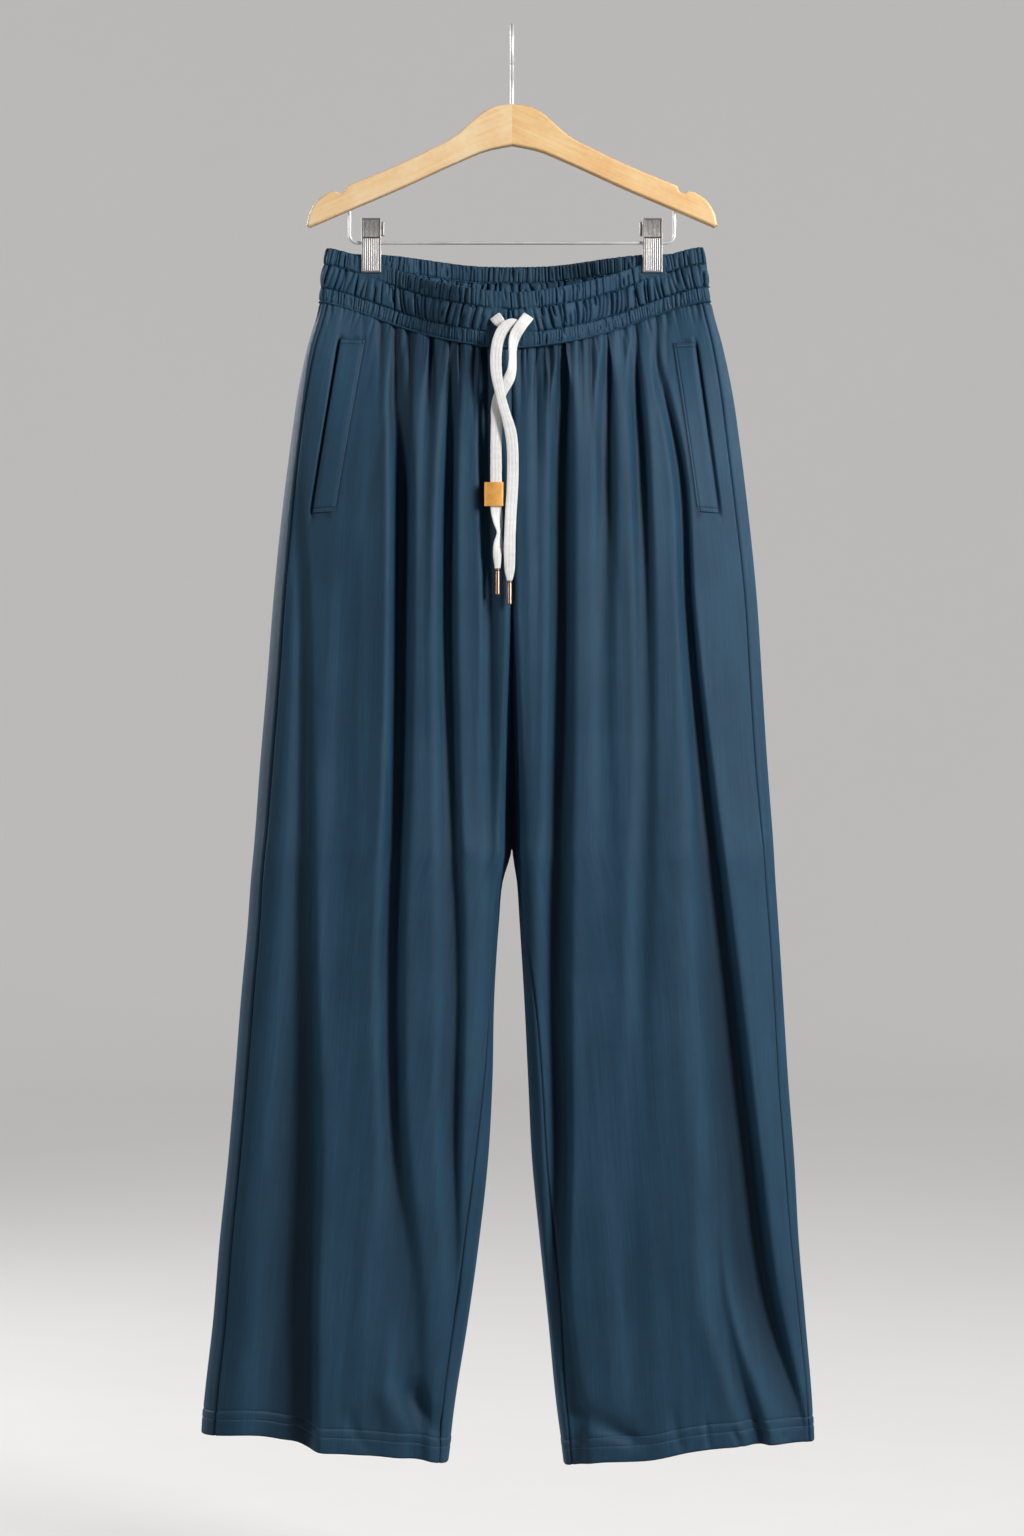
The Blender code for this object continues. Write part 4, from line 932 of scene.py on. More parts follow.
# %% Panel shape
HEM_TURN = 22.0
HEM_SECOND = 14.0
ROWS_NEAR_WAIST = (
    0, 0.5, 1, 1.7, 2.5, 3.5, 4.7, 6, 7.5, 9.3, 11.4, 13.8, 16.5, 19.5, 23, 27, 32, 38, 45, 53, 62,
)
ROWS_NEAR_HEM = (
    30, 26, 24, 23, 22.5, 22, 21.5, 21, 20, 18, 16, 15, 14.5, 14, 13.5, 13, 12, 10, 7.5, 5, 3, 1.6,
    0.7, 0.2, 0,
)
MIDDLE_ROWS = 112
EDGE_COLUMNS = (0, 0.5, 1.0, 1.6, 2.4, 3.4)
Crease = namedtuple("Crease", "x z end_x end_z width depth")
HEM_CREASES = [
    Crease(-96, -1212, -66, -1262, 9, 6.5), Crease(-122, -1212, -86, -1266, 10, -3.5),
    Crease(50, -1236, 118, -1268, 7, 5.5), Crease(195, -1252, 208, -1278, 3.5, 2.0),
    Crease(-150, -1238, -128, -1275, 6, 2.0), Crease(140, -1235, 152, -1276, 5, 1.8),
    Crease(172, -1245, 176, -1272, 3, 1.4), Crease(232, -1246, 246, -1268, 5, 2.0),
]


def side_angle(side, z):
    """The side seam's angle, a little forward of the leg's edge."""
    edge = np.abs(column_at(SECTIONS, side + "_side", z))
    inner = np.abs(column_at(SECTIONS, side + "_inner", z))
    inset = column_at(INSETS, side + "_side", z)
    share = rise(z, FRONT_RISE)
    return (1 - share) * np.arccos(1 - 2 * inset / (edge - inner)) + share * 2 * np.arccos(1 - inset / edge)


def inseam_angle(side, z):
    """How far short of the inner edge the inseam lies, on the front face."""
    edge = np.abs(column_at(SECTIONS, side + "_side", z))
    inner = np.abs(column_at(SECTIONS, side + "_inner", z))
    inset = np.clip(column_at(INSETS, side + "_inner", z), 0, None)
    return np.where(z >= CROTCH, 0.0, np.arccos(1 - 2 * inset / (edge - inner)))


def column_shares(count, span):
    """Places of the columns across a panel, closer together at its seams."""
    edge = np.array(EDGE_COLUMNS) / span
    return np.concatenate([edge, np.linspace(edge[-1], 1 - edge[-1], count)[1:-1], 1 - edge[::-1]])


def panel_angles(side, is_front, shares):
    """A table of angles: a row for each height, a column for each share."""
    levels = np.linspace(-226.0, -1300.0, 120)
    start = side_angle(side, levels)
    inset = inseam_angle(side, levels)
    end = math.pi - inset if is_front else -math.pi - inset
    tried = start[:, None] + (end - start)[:, None] * np.linspace(0, 1, 200)
    points = cloth_point(side, tried, levels[:, None], folded=False)
    moved = np.abs(np.diff(points, axis=1))
    path = np.cumsum(moved[..., 0] + 0.35 * moved[..., 1], axis=1)
    path = np.concatenate([np.zeros((len(levels), 1)), path], axis=1)
    table = [np.interp(shares * path[k, -1], path[k], tried[k]) for k in range(len(levels))]
    return levels, np.array(table)


def groove(distance, depth, width):
    return -depth * bell(distance, width)


def from_edges(points):
    """Distance of each grid point from its row's two ends, along the cloth."""
    steps = np.linalg.norm(np.diff(points, axis=1), axis=-1)
    run = np.concatenate([np.zeros((len(points), 1)), np.cumsum(steps, axis=1)], axis=1)
    return run, run[:, -1:] - run


def crease_relief(x, z, creases):
    total = np.zeros_like(x)
    for c in creases:
        way = np.array([c.end_x - c.x, c.end_z - c.z], float)
        t = np.clip(((x - c.x) * way[0] + (z - c.z) * way[1]) / (way @ way), 0, 1)
        off = np.hypot(x - c.x - t * way[0], z - c.z - t * way[1])
        total += c.depth * bell(off, c.width) * soft_step(3 * t + 0.25) * soft_step(3 * (1 - t) + 0.25)
    return total


print("rows of a panel:", len(ROWS_NEAR_WAIST) + MIDDLE_ROWS + len(ROWS_NEAR_HEM))


# %% [markdown]
# The pockets are slits in the fronts. Their lines are needed here, because the
# cloth sinks beside the opening, and again later for the welts over them.

# %% Pocket lines
Welt = namedtuple("Welt", "top low top_open low_open top_stitched low_stitched")
WELTS = {
    "left": Welt(-280.5, -439, -153.5, -178.0, -131.5, -157.5),
    "right": Welt(-284, -439, 163.5, 184.5, 144.0, 164.5),
}


def beside_slit(side, x, z):
    """How far down its pocket a point is, 0 to 1, and how far outside the slit."""
    welt = WELTS[side]
    t = (z - welt.top) / (welt.low - welt.top)
    opening = welt.top_open + (welt.low_open - welt.top_open) * t
    return t, (x - opening) * SIDES[side]


def slit_relief(side, x, z):
    """The cloth sinks just outside a pocket's opening edge."""
    t, outside = beside_slit(side, x, z)
    return groove(outside - 1.1, 3.4, 1.7) * within(t, 0.01, 0.03)


def welt_shadow(side, x, z):
    """1 on the panel along the slit and the stitched edge of its welt."""
    welt = WELTS[side]
    t, outside = beside_slit(side, x, z)
    stitched = welt.top_stitched + (welt.low_stitched - welt.top_stitched) * t
    wide = abs(welt.top_open - welt.top_stitched)
    across = bell(x - stitched, 1.3) + bell(outside - 1.0, 1.6)
    between = soft_step((outside + wide + 1.5) / 1.5) * soft_step((1.5 - outside) / 1.5)
    ends = bell(z - welt.top - 0.6, 1.0) + bell(z - welt.low + 0.6, 1.0)
    return across * within(t, 0.02, 0.03) + ends * between


print("height of the slits, mm:", [welt.top - welt.low for welt in WELTS.values()])


# %% [markdown]
# A panel's rows are close together at the waist and at the hem, where the cloth
# changes most. Its relief is a sum of small parts: gathers, seams, the hem's
# grooves and creases, and the pocket's slit. The same parts set each point's
# painted shade: how much its colour is darkened, as if it lay in shade.

# %% Make a panel
Panel = namedtuple("Panel", "piece outer normal")
# painted shade on the inner face, the same all over
INSIDE_PAINTED_SHADE = 0.3       # how hollow the inner face counts, all over


def panel_heights(side, angles_at, flat_row):
    """Heights of the points, and how far they lie below the waist and above the hem."""
    top = band_line(side, angles_at(-262.0 * flat_row)[0], BAND_HEIGHT + 0.25)
    low_x = cloth_point(side, angles_at(-1275.0 * flat_row)[0], -1275.0)[..., 0]
    hem = hem_height(side, low_x)
    upper = top[None, :] - np.array(ROWS_NEAR_WAIST)[:, None]
    lower = hem[None, :] + np.array(ROWS_NEAR_HEM)[:, None]
    share = np.linspace(0, 1, MIDDLE_ROWS + 2)[1:-1, None]
    z = np.concatenate([upper, upper[-1] + (lower[0] - upper[-1]) * share, lower])
    return z, top[None, :] - z, z - hem[None, :]


def panel_gathers(rng, is_front, x, z, across, below):
    """One panel's gathers, weaker under the clips and beside the pocket."""
    families = LEG_GATHERS if is_front else LEG_GATHERS + [BACK_PLEATS]
    gathers = gather_relief(rng, across, below, families)
    if is_front:
        gathers += pleat_relief(x, below, FRONT_PLEATS)
    gathers *= 1 - 0.45 * pinch(x, z)
    if is_front:
        near_pocket = soft_step((np.abs(x) - 122) / 25)
        gathers *= 1 - 0.72 * near_pocket * soft_step(below / 24)
    return gathers


def hem_relief(across, above):
    """The thickness of the turn-up, its two stitched grooves and their pucker."""
    lines = groove(above - HEM_TURN, 0.5, 0.9) + groove(above - HEM_SECOND, 0.45, 0.8)
    pucker = np.sin(across / 3.1 + 2 * np.sin(across / 17)) * np.exp(-((above - 18) ** 2) / 180)
    return lines + 0.45 * soft_step((HEM_TURN - above) / 2) + 0.16 * pucker


def make_panel(side, is_front, columns, seed):
    rng = np.random.default_rng(seed)
    shares = column_shares(columns, 200.0)
    levels, table = panel_angles(side, is_front, shares)
    flat_row = np.ones((1, len(shares)))

    def angles_at(z):
        return np.stack([np.interp(-z[:, k], -levels, table[:, k]) for k in range(len(shares))], axis=1)

    z, below, above = panel_heights(side, angles_at, flat_row)
    angle = angles_at(z)
    plain = cloth_point(side, angle, z)
    normal = outward(side, angle, z, True)
    x = plain[..., 0]
    waist_row = cloth_point(side, angles_at(-294.0 * flat_row)[0], -294.0, folded=False)
    across = run_of(waist_row)[None, :] + 0 * z
    gathers = panel_gathers(rng, is_front, x, z, across, below)
    relief = -gathers + 0.9 * soft_step(below / 4) * np.exp(-below / 40) + hem_relief(across, above)
    start, end = from_edges(plain)
    for distance in (start, end):
        relief += groove(distance, 1.1, 1.0) + 0.25 * bell(distance - 3.0, 1.5)
    folded_in = np.linalg.norm(cloth_point(side, angle, z, folded=False) - plain, axis=-1)
    # painted shade: darker deep in the folds and gathers, along the seams, under the waist seam, at the hem's
    # lower edge, and as a painted shadow beside the pocket slit
    painted_shade = (folded_in - 1.2) / 12 + gathers / 3.2
    painted_shade += bell(np.minimum(start, end), 0.9) + bell(below, 1.7) + 0.9 * bell(above, 1.4)
    if is_front:
        relief += slit_relief(side, x, z) - crease_relief(x, z, HEM_CREASES)
        painted_shade += 0.9 * welt_shadow(side, x, z)
    rounding = np.clip(1 - below / 1.4, 0, 1) ** 2 * 0.9 + np.clip(1 - above / 1.1, 0, 1) ** 2 * 0.6
    wall = CLOTH + 0.4 * soft_step((HEM_TURN - above) / 2)
    outer = plain + normal * (relief - rounding)[..., None]
    inner = plain + normal * (relief - wall + rounding * 0.6)[..., None]
    for points in (outer, inner):
        kept = SIDES[side] * np.maximum(SIDES[side] * points[..., 0], 0.0)
        kept[:, -1] = 0.0
        points[..., 0] = np.where(z >= CROTCH - 1, kept, points[..., 0])
    half = "front" if is_front else "back"
    piece = sheet_piece(half + "_panel_" + side, outer, inner, blue_knit, (painted_shade, INSIDE_PAINTED_SHADE))
    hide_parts(half + "_" + side)
    return Panel(piece, outer, normal)


panels = {
    "front_left": make_panel("left", True, 236, 11),
    "front_right": make_panel("right", True, 236, 12),
    "back_left": make_panel("left", False, 200, 13),
    "back_right": make_panel("right", False, 200, 14),
}
print("panels:", ", ".join(panels))

# %% [markdown]
# ## The shirred waistband
# The waistband is a tube of cloth over elastic. Two rows of stitches split it
# into three channels. The middle one is the widest and the fullest, because the
# drawcord runs in it. The elastic pulls the cloth into close upright gathers,
# and each channel gathers on its own, so its creases are drawn on their own.

# %% Waistband shape
Channel = namedtuple("Channel", "top low pitch depth width puff lean")
CHANNELS = [
    Channel(0.0, 15.2, 3.1, 1.7, 0.85, 0.7, 1.4),
    Channel(15.2, 36.2, 4.6, 2.7, 1.2, 1.9, 4.5),
    Channel(36.2, 47.6, 2.35, 1.25, 0.72, 0.55, 0.8),
]
STITCH_LINES = (15.2, 36.2)
BAND_ROWS = (
    0, 0.25, 0.7, 1.3, 2.2, 3.4, 4.8, 6.3, 7.8, 9.3, 10.8, 12.2, 13.4, 14.2, 14.8, 15.2, 15.6, 16.2,
    17.0, 18.2, 19.6, 21.2, 22.8, 24.4, 26.0, 27.6, 29.2, 30.8, 32.2, 33.4, 34.4, 35.2, 35.8, 36.2,
    36.6, 37.2, 38.0, 39.2, 40.6, 42.0, 43.4, 44.8, 46.2, 47.4, 48.4, 49.1, 49.6, 50.0,
)
BAND_COLUMNS = 430      # in each half


def channel_relief(rng, channel, across, down):
    """One channel: its puff, and creases that lean a little and may stop short."""
    share = (down - channel.top) / (channel.low - channel.top)
    inside = soft_step((share + 0.02) / 0.04) * soft_step((1.02 - share) / 0.04)
    safe = np.clip(share, 0, 1)
    cloudy = 1 + 0.35 * np.sin(across / 7.9 + rng.uniform(0, 6)) * np.sin(across / 19.0 + rng.uniform(0, 6))
    total = channel.puff * np.sin(math.pi * safe) ** 0.8 * cloudy
    span = across.max()
    count = int(span / channel.pitch)
    places = (np.arange(count) + rng.uniform(0.1, 0.9, count)) * span / count
    swing = rng.uniform(0, 6)
    for place in places:
        lean = channel.lean * (math.sin(place / 21 + swing) + rng.normal(0, 0.3))
        depth = channel.depth * rng.uniform(0.45, 1.35)
        width = channel.width * rng.uniform(0.7, 1.3)
        first = -0.3 if rng.random() < 0.75 else rng.uniform(0.0, 0.4)
        last = 1.3 if rng.random() < 0.75 else rng.uniform(max(first, 0.0) + 0.45, 1.2)
        length = soft_step((share - first) / 0.2) * soft_step((last - share) / 0.2)
        t = np.abs(across - place - lean * (safe - 0.5)) / width
        total -= depth * length * np.exp(-(t**1.7))
    return total * inside


def band_relief(rng, across, down):
    total = sum(channel_relief(rng, channel, across, down) for channel in CHANNELS)
    for line in STITCH_LINES:
        total += groove(down - line, 1.2, 0.6)
    return total + groove(down - 47.8, 0.9, 0.6) + 0.4 * bell(down - 49.0, 0.7)


def band_painted_shade(relief, down):
    """Painted shade where the band's creases lie below the cloth beside them, and along its stitch lines."""
    reach = 9
    wide = np.pad(relief, ((0, 0), (reach, reach)), mode="edge")
    run = np.cumsum(np.concatenate([0 * wide[:, :1], wide], axis=1), axis=1)
    level = (run[:, 2 * reach + 1:] - run[:, :-2 * reach - 1]) / (2 * reach + 1)
    lines = sum(bell(down - line, 0.7) for line in (*STITCH_LINES, 47.8, 50.4))
    return (level - relief) / 1.9 + 0.75 * lines


def even_angles(side, is_front, count):
    """Angles at even steps of length, from the side edge to the middle."""
    fine = np.linspace(0, math.pi, 1200) * (1 if is_front else -1)
    points = cloth_point(side, fine, -235.0, folded=False)
    length = run_of(points)
    wanted = np.linspace(0, length[-1], count + 1)
    wanted[0] = SEAM_GAP / 4
    return np.interp(wanted, length, fine), wanted


def band_half(side, is_front):
    angle, along = even_angles(side, is_front, BAND_COLUMNS)
    top = band_line(side, angle, 0.0)
    z = top[None, :] - np.array(BAND_ROWS)[:, None]
    angles = np.broadcast_to(angle, z.shape)
    return cloth_point(side, angles, z, folded=False), outward(side, angles, z, False), along


def make_waistband(is_front, seed):
    rng = np.random.default_rng(seed)
    left, left_normal, left_along = band_half("left", is_front)
    right, right_normal, right_along = band_half("right", is_front)
    plain = np.concatenate([left, right[:, -2::-1]], axis=1)
    normal = np.concatenate([left_normal, right_normal[:, -2::-1]], axis=1)
    along = np.concatenate([left_along, left_along[-1] + right_along[-1] - right_along[-2::-1]])
    across = along[None, :] + 0 * plain[..., 0]
    down = np.array(BAND_ROWS)[:, None] + 0 * across
    free = 1 - press(plain[..., 0], plain[..., 2])
    if is_front:
        free = free * (1 - 0.8 * bell(np.abs(plain[..., 0]) - 15, 7))
    side_seam = np.minimum(across, across.max() - across)
    outside = band_relief(rng, across, down) * free + groove(side_seam, 1.2, 1.1)
    inside = band_relief(rng, across, down) * free
    edge = np.minimum(down, BAND_HEIGHT - down)
    rounding = 1.0 * np.clip(1 - edge / 1.3, 0, 1) ** 2
    ruffle = np.clip(1 - down / 5, 0, 1) * 0.55
    outer = plain + normal * (outside - rounding)[..., None]
    inner = plain - normal * (BAND_CLOTH + inside - rounding)[..., None]
    for points in (outer, inner):
        points[..., 2] += ruffle * (outside - 0.3)
    half = "front" if is_front else "back"
    # painted shade: the band's colour is darkened in its creases and along its stitch lines
    painted_shade = (band_painted_shade(outside, down), band_painted_shade(inside, down))
    piece = sheet_piece("shirred_band_" + half, outer, inner, blue_knit, painted_shade)
    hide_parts("waistband_" + half)
    return Panel(piece, outer, normal)


bands = {"front": make_waistband(True, 21), "back": make_waistband(False, 22)}
print("band halves:", ", ".join(bands))

# %% [markdown]
# ## Pocket welts
# A welt is a folded strip sewn over the pocket's mouth. Its stitched edge lies
# flat on the front, and its free edge stands a little away. To lie on the real
# cloth, its points are dropped on to the finished panel from in front, made
# smoother than the panel, and then lifted.

# %% Welts
def drop_on(panel, x, z):
    """The panel's surface straight behind each x, z, as depths in mm."""
    bm = bmesh.new()
    bm.from_mesh(panel.piece.data)
    tree = BVHTree.FromBMesh(bm)
    bm.free()
    depth = np.zeros_like(x)
    for place in np.ndindex(x.shape):
        start = Vector((x[place] * MM, -0.2, z[place] * MM))
        depth[place] = tree.ray_cast(start, Vector((0, 1, 0)))[0].y / MM
    return depth


def smoothed(values, times):
    """Average each grid value with its neighbours."""
    for _ in range(times):
        wide = np.pad(values, 1, mode="edge")
        values = (wide[:-2, 1:-1] + wide[2:, 1:-1] + wide[1:-1, :-2] + wide[1:-1, 2:] + 2 * values) / 6
    return values


def make_welt(side, panel):
    welt = WELTS[side]
    rows, columns = 150, 40
    down = np.linspace(0, 1, rows)[:, None]
    over = np.linspace(0, 1, columns)[None, :]
    z = welt.top + (welt.low - welt.top) * down - 2.0 * over * (0.5 - down)
    open_edge = welt.top_open + (welt.low_open - welt.top_open) * down
    stitched = welt.top_stitched + (welt.low_stitched - welt.top_stitched) * down
    x = open_edge + (stitched - open_edge) * over
    base = smoothed(drop_on(panel, x, z), 36)
    wide = abs(welt.top_stitched - welt.top_open)
    long = welt.top - welt.low
    from_open = over * wide
    from_stitched = (1 - over) * wide
    from_ends = np.minimum(down, 1 - down) * long
    lift = 1.5 + 0.5 * bell(from_open, 5) - 0.75 * bell(from_stitched, 2.0)
    lift = lift - 0.6 * bell(from_ends, 3.0)
    lift = lift + groove(from_stitched - 2.6, 0.4, 0.7) + groove(from_ends - 4.2, 0.4, 0.8)
    rim = np.minimum(np.minimum(from_open, from_stitched), from_ends)
    lift = lift - 0.5 * np.clip(1 - rim / 0.9, 0, 1) ** 2
    outer = np.stack([x, base - lift, z], axis=-1)
    inner = np.stack([x, base - 0.12 + 0 * x, z], axis=-1)
    # painted shade: the welt's colour is darkened in its stitched grooves and along its rim
    painted_shade = 0.8 * bell(from_stitched - 2.6, 0.7) + 0.8 * bell(from_ends - 4.2, 0.8)
    painted_shade = painted_shade + bell(rim, 0.6)
    piece = sheet_piece("welt_" + side, outer, inner, blue_knit, (painted_shade, 1.0))
    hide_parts("pocket_welt_" + side)
    return Panel(piece, outer, np.broadcast_to([0.0, -1.0, 0.0], outer.shape))


welts = {side: make_welt(side, panels["front_" + side]) for side in ("left", "right")}
print("welts:", ", ".join(welts))

# %% [markdown]
# ## Stitches
# A row of topstitching is a line of tiny threads, each one a bead that sinks
# into the cloth at both ends. One low-polygon bead is copied along a line of
# points, because a row has hundreds of them. Small differences in length and
# turn keep it from looking printed.

# %% Stitches
def stitch_row(bm, line, normals, rng, pitch=2.9, length=2.2, radius=0.3, sink=0.05):
    """Place beads along a line of points, lying on the cloth."""
    run = run_of(line)
    spots = np.arange(pitch / 2, run[-1], pitch)
    for spot in spots:
        at = np.array([np.interp(spot, run, line[:, k]) for k in range(3)])
        up = Vector([np.interp(spot, run, normals[:, k]) for k in range(3)]).normalized()
        ahead = np.array([np.interp(spot + 0.5, run, line[:, k]) for k in range(3)])
        before = np.array([np.interp(spot - 0.5, run, line[:, k]) for k in range(3)])
        way = (Vector(ahead - before) + Vector(rng.normal(0, 0.03, 3))).normalized()
        aside = way.cross(up).normalized()
        bead = bmesh.ops.create_icosphere(bm, subdivisions=1, radius=1.0)["verts"]
        long = length / 2 * rng.uniform(0.9, 1.08)
        for vert in bead:
            a, b, c = vert.co
            spread = way * (a * long) + aside * (b * radius) + up * (c * radius - sink)
            vert.co = (Vector(at) + spread) * MM


def stitches(name, rows, seed, **sizes):
    """Several rows of stitches as one piece of thread."""
    rng = np.random.default_rng(seed)
    bm = bmesh.new()
    for line, normals in rows:
        stitch_row(bm, line, normals, rng, **sizes)
    count = len(bm.faces) // 20
    piece = finish_mesh(name, bm, thread, sharp=80.0)
    print(name, count, "stitches")
    return piece


def grid_row(panel, row):
    return panel.outer[row], panel.normal[row]


hem_start = len(ROWS_NEAR_WAIST) + MIDDLE_ROWS
turn_row = hem_start + ROWS_NEAR_HEM.index(22)
second_row = hem_start + ROWS_NEAR_HEM.index(14)
hem_threads = {}
for number, (name, panel) in enumerate(panels.items()):
    rows = [grid_row(panel, turn_row), grid_row(panel, second_row)]
    hem_threads[name] = stitches("hem_thread_" + name, rows, 31 + number, radius=0.26)

line_rows = [BAND_ROWS.index(line) for line in STITCH_LINES]
for half, seed in (("front", 41), ("back", 42)):
    rows = [grid_row(bands[half], row) for row in line_rows]
    stitches("band_thread_" + half, rows, seed, radius=0.26, sink=-0.05)


def welt_lines(welt):
    """Topstitching round a welt's stitched edge and both its ends."""
    columns = welt.outer.shape[1]
    inside = int(columns * 0.88)
    cloth = welt.outer
    lines = (cloth[3:-3, inside], cloth[3, 1:inside], cloth[-4, 1:inside], cloth[-2, 1:-1])
    return [(line, np.broadcast_to([0.0, -1.0, 0.0], line.shape)) for line in lines]


welt_threads = {}
for side, welt in welts.items():
    welt_threads[side] = stitches("welt_thread_" + side, welt_lines(welt), 51, radius=0.24)

# %% [markdown]
# ## The threads and welts of each panel
# A gathered edge hides cloth, so each piece's flat cut is wider than it hangs. Here each panel's hem thread,
# and on a front its welt and welt thread, are only listed, and the sheets of cloth are counted.

for name, panel in panels.items():
    half, side = name.split("_")
    threads = [hem_threads[name]]
    if half == "front":
        threads += [welts[side].piece, welt_threads[side]]
print("sheets:", len(panels) + len(bands))

# %% [markdown]
# ## The wooden hanger
# Two arms are cut from pale, straight-grained wood, glued at the middle, and
# lacquered. An arm is a flat outline, extruded and with all its edges rounded.
# The grain runs along each arm, so a Mapping node turns it to the arm's slope.

# %% Wood material
def wood_material(name, slope, dark, light):
    material, tree, shader = new_material(
        name, Coat_Weight=0.25, Coat_Roughness=0.18, Specular_IOR_Level=0.4,
    )
    spot = node(tree, "ShaderNodeTexCoord").outputs["Object"]
    turned = node(tree, "ShaderNodeMapping", Vector=spot, Rotation=(0.0, slope, 0.0)).outputs[0]
    tone = place_group(tree, mottle, Vector=turned, Scale=22.0, Dark=(*dark, 1.0), Light=(*light, 1.0))
    lines = place_group(tree, streaks, Vector=turned, Across=(0.05, 1.0, 1.0), Fine=330.0)
    pores = place_group(tree, streaks, Vector=turned, Across=(0.09, 1.0, 1.0), Fine=1500.0)
    grained = tinted(tree, "OVERLAY", 0.2, tone["Color"], lines["Mask"])
    tree.links.new(grained, shader["Base Color"])
    tree.links.new(spread(tree, pores["Mask"], 0.3, 0.42), shader["Roughness"])
    add_bump(tree, shader, pores["Mask"], 0.12, 0.0002)
    return material


ARM_SLOPE = math.radians(24)
pale_wood = {
    "left": wood_material("wood_left", ARM_SLOPE, (0.92, 0.60, 0.31), (0.99, 0.77, 0.47)),
    "right": wood_material("wood_right", -ARM_SLOPE, (0.88, 0.52, 0.23), (0.97, 0.68, 0.35)),
}
print("arms to colour:", len(pale_wood))

# %% [markdown]
# The outline runs over the shoulder, round the notch and the arm's end, and back
# along the underside. A smooth curve goes through each run of points, and the
# corners between the runs stay sharp.

# %% Hanger arms
WOOD_THICK = 12.0
WOOD_ROUND = 2.0
SHOULDER = [
    (0, -69.3), (-9, -70), (-18, -72), (-27, -77), (-36, -84.6), (-53, -99), (-73, -109.5), (-99, -122),
    (-124, -132.8), (-149, -142.9),
]
NOTCH = [(-150.0, -147.0), (-154.0, -149.5), (-158.4, -147.4)]
ARM_END = [(-164.7, -148.5), (-174.6, -155.7), (-181.8, -167), (-184.5, -178)]
UNDERSIDE = [(-182, -179.6), (-149.5, -165.6), (-99, -144), (-48.5, -121), (-23.4, -110.7), (0, -105.8)]


def rounded(points, count):
    """So many points on a smooth curve through a few."""
    return [tuple(point) for point in resampled(points, count)[0].tolist()]


def make_arm(side):
    outline = rounded(SHOULDER, 37) + rounded(NOTCH, 7) + rounded(ARM_END, 13) + rounded(UNDERSIDE, 21)
    bm = bmesh.new()
    verts = []
    for x, z in outline:
        verts.append(bm.verts.new(Vector((-SIDES[side] * min(x, -0.05), -WOOD_THICK / 2, z)) * MM))
    face = bm.faces.new(verts)
    grown = bmesh.ops.extrude_face_region(bm, geom=[face])
    moved = [item for item in grown["geom"] if isinstance(item, bmesh.types.BMVert)]
    bmesh.ops.translate(bm, verts=moved, vec=Vector((0, WOOD_THICK, 0)) * MM)
    half = WOOD_THICK / 2 * MM
    rims = []
    for edge in bm.edges:
        ends = [vert.co for vert in edge.verts]
        on_face = abs(abs(ends[0].y) - half) < 1e-7 and abs(ends[0].y - ends[1].y) < 1e-7
        at_joint = abs(ends[0].x) < 1e-4 and abs(ends[1].x) < 1e-4
        if on_face and not at_joint:
            rims.append(edge)
    bmesh.ops.bevel(
        bm, geom=rims, offset=WOOD_ROUND * MM, affect="EDGES", segments=5, profile=0.5, material=-1,
    )
    bmesh.ops.recalc_face_normals(bm, faces=bm.faces)
    piece = finish_mesh("arm_" + side, bm, pale_wood[side], sharp=40.0)
    for face in piece.data.polygons:
        if abs(face.normal.y) > 0.99 and face.area > 1e-3:
            face.use_smooth = False
    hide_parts("hanger_arm_" + side)
    return piece


for side in SIDES:
    make_arm(side)
print("both arms are in place")

# %% [markdown]
# ## Steel parts
# The hook and the bar are bright plated wire. The clips are pressed steel with
# a satin brush and fine ribs. Both metals use the same streaks, one fine and
# faint and one coarser.

# %% Steel materials
# painted shade: the colour that steel keeps where its painted shade is deepest
PAINTED_SHADE_STEEL = (0.3, 0.29, 0.28, 1.0)


def steel_material(name, colour, low, high, fine, across, patches=60.0, metal=1.0):
    material, tree, shader = new_material(name, Metallic=metal)
    spot = node(tree, "ShaderNodeTexCoord").outputs["Object"]
    darker = tuple(0.8 * c for c in colour)
    tone = place_group(tree, mottle, Vector=spot, Scale=patches, Dark=(*darker, 1.0), Light=(*colour, 1.0))
    brushed = place_group(tree, streaks, Vector=spot, Across=across, Fine=fine)
    # painted shade: the attribute darkens the steel's colour in its recesses, as shade
    painted_shade = node(tree, "ShaderNodeAttribute", {"attribute_name": "painted_shade"}).outputs["Fac"]
    tree.links.new(tinted(tree, "MULTIPLY", painted_shade, tone["Color"], PAINTED_SHADE_STEEL), shader["Base Color"])
    tree.links.new(spread(tree, brushed["Mask"], low, high), shader["Roughness"])
    add_bump(tree, shader, brushed["Mask"], 0.08, 0.0001)
    return material


bright_wire = steel_material(
    "bright_wire", (0.92, 0.91, 0.90), 0.38, 0.48, 900.0, (1.0, 1.0, 0.2), metal=0.4,
)
satin_steel = steel_material("satin_steel", (0.49, 0.48, 0.46), 0.42, 0.58, 2400.0, (1.0, 1.0, 0.03), 300.0)
dark_spring = steel_material("spring_steel", (0.5, 0.49, 0.48), 0.25, 0.35, 900.0, (1.0, 1.0, 1.0))
print("steels:", bright_wire.name, satin_steel.name, dark_spring.name)


# %% [markdown]
# A wire is a curve with a round bevel. It needs only its middle line, and the
# bevel keeps it exactly as thick all the way round its bends.

# %% Hook and bar
HOOK_RADIUS = 1.8
HOOK_LOOP = 23.0
BAR_RADIUS = 1.5
BAR_X = 146.2
BAR_Z = -193.5
BAR_BEND = 7.5


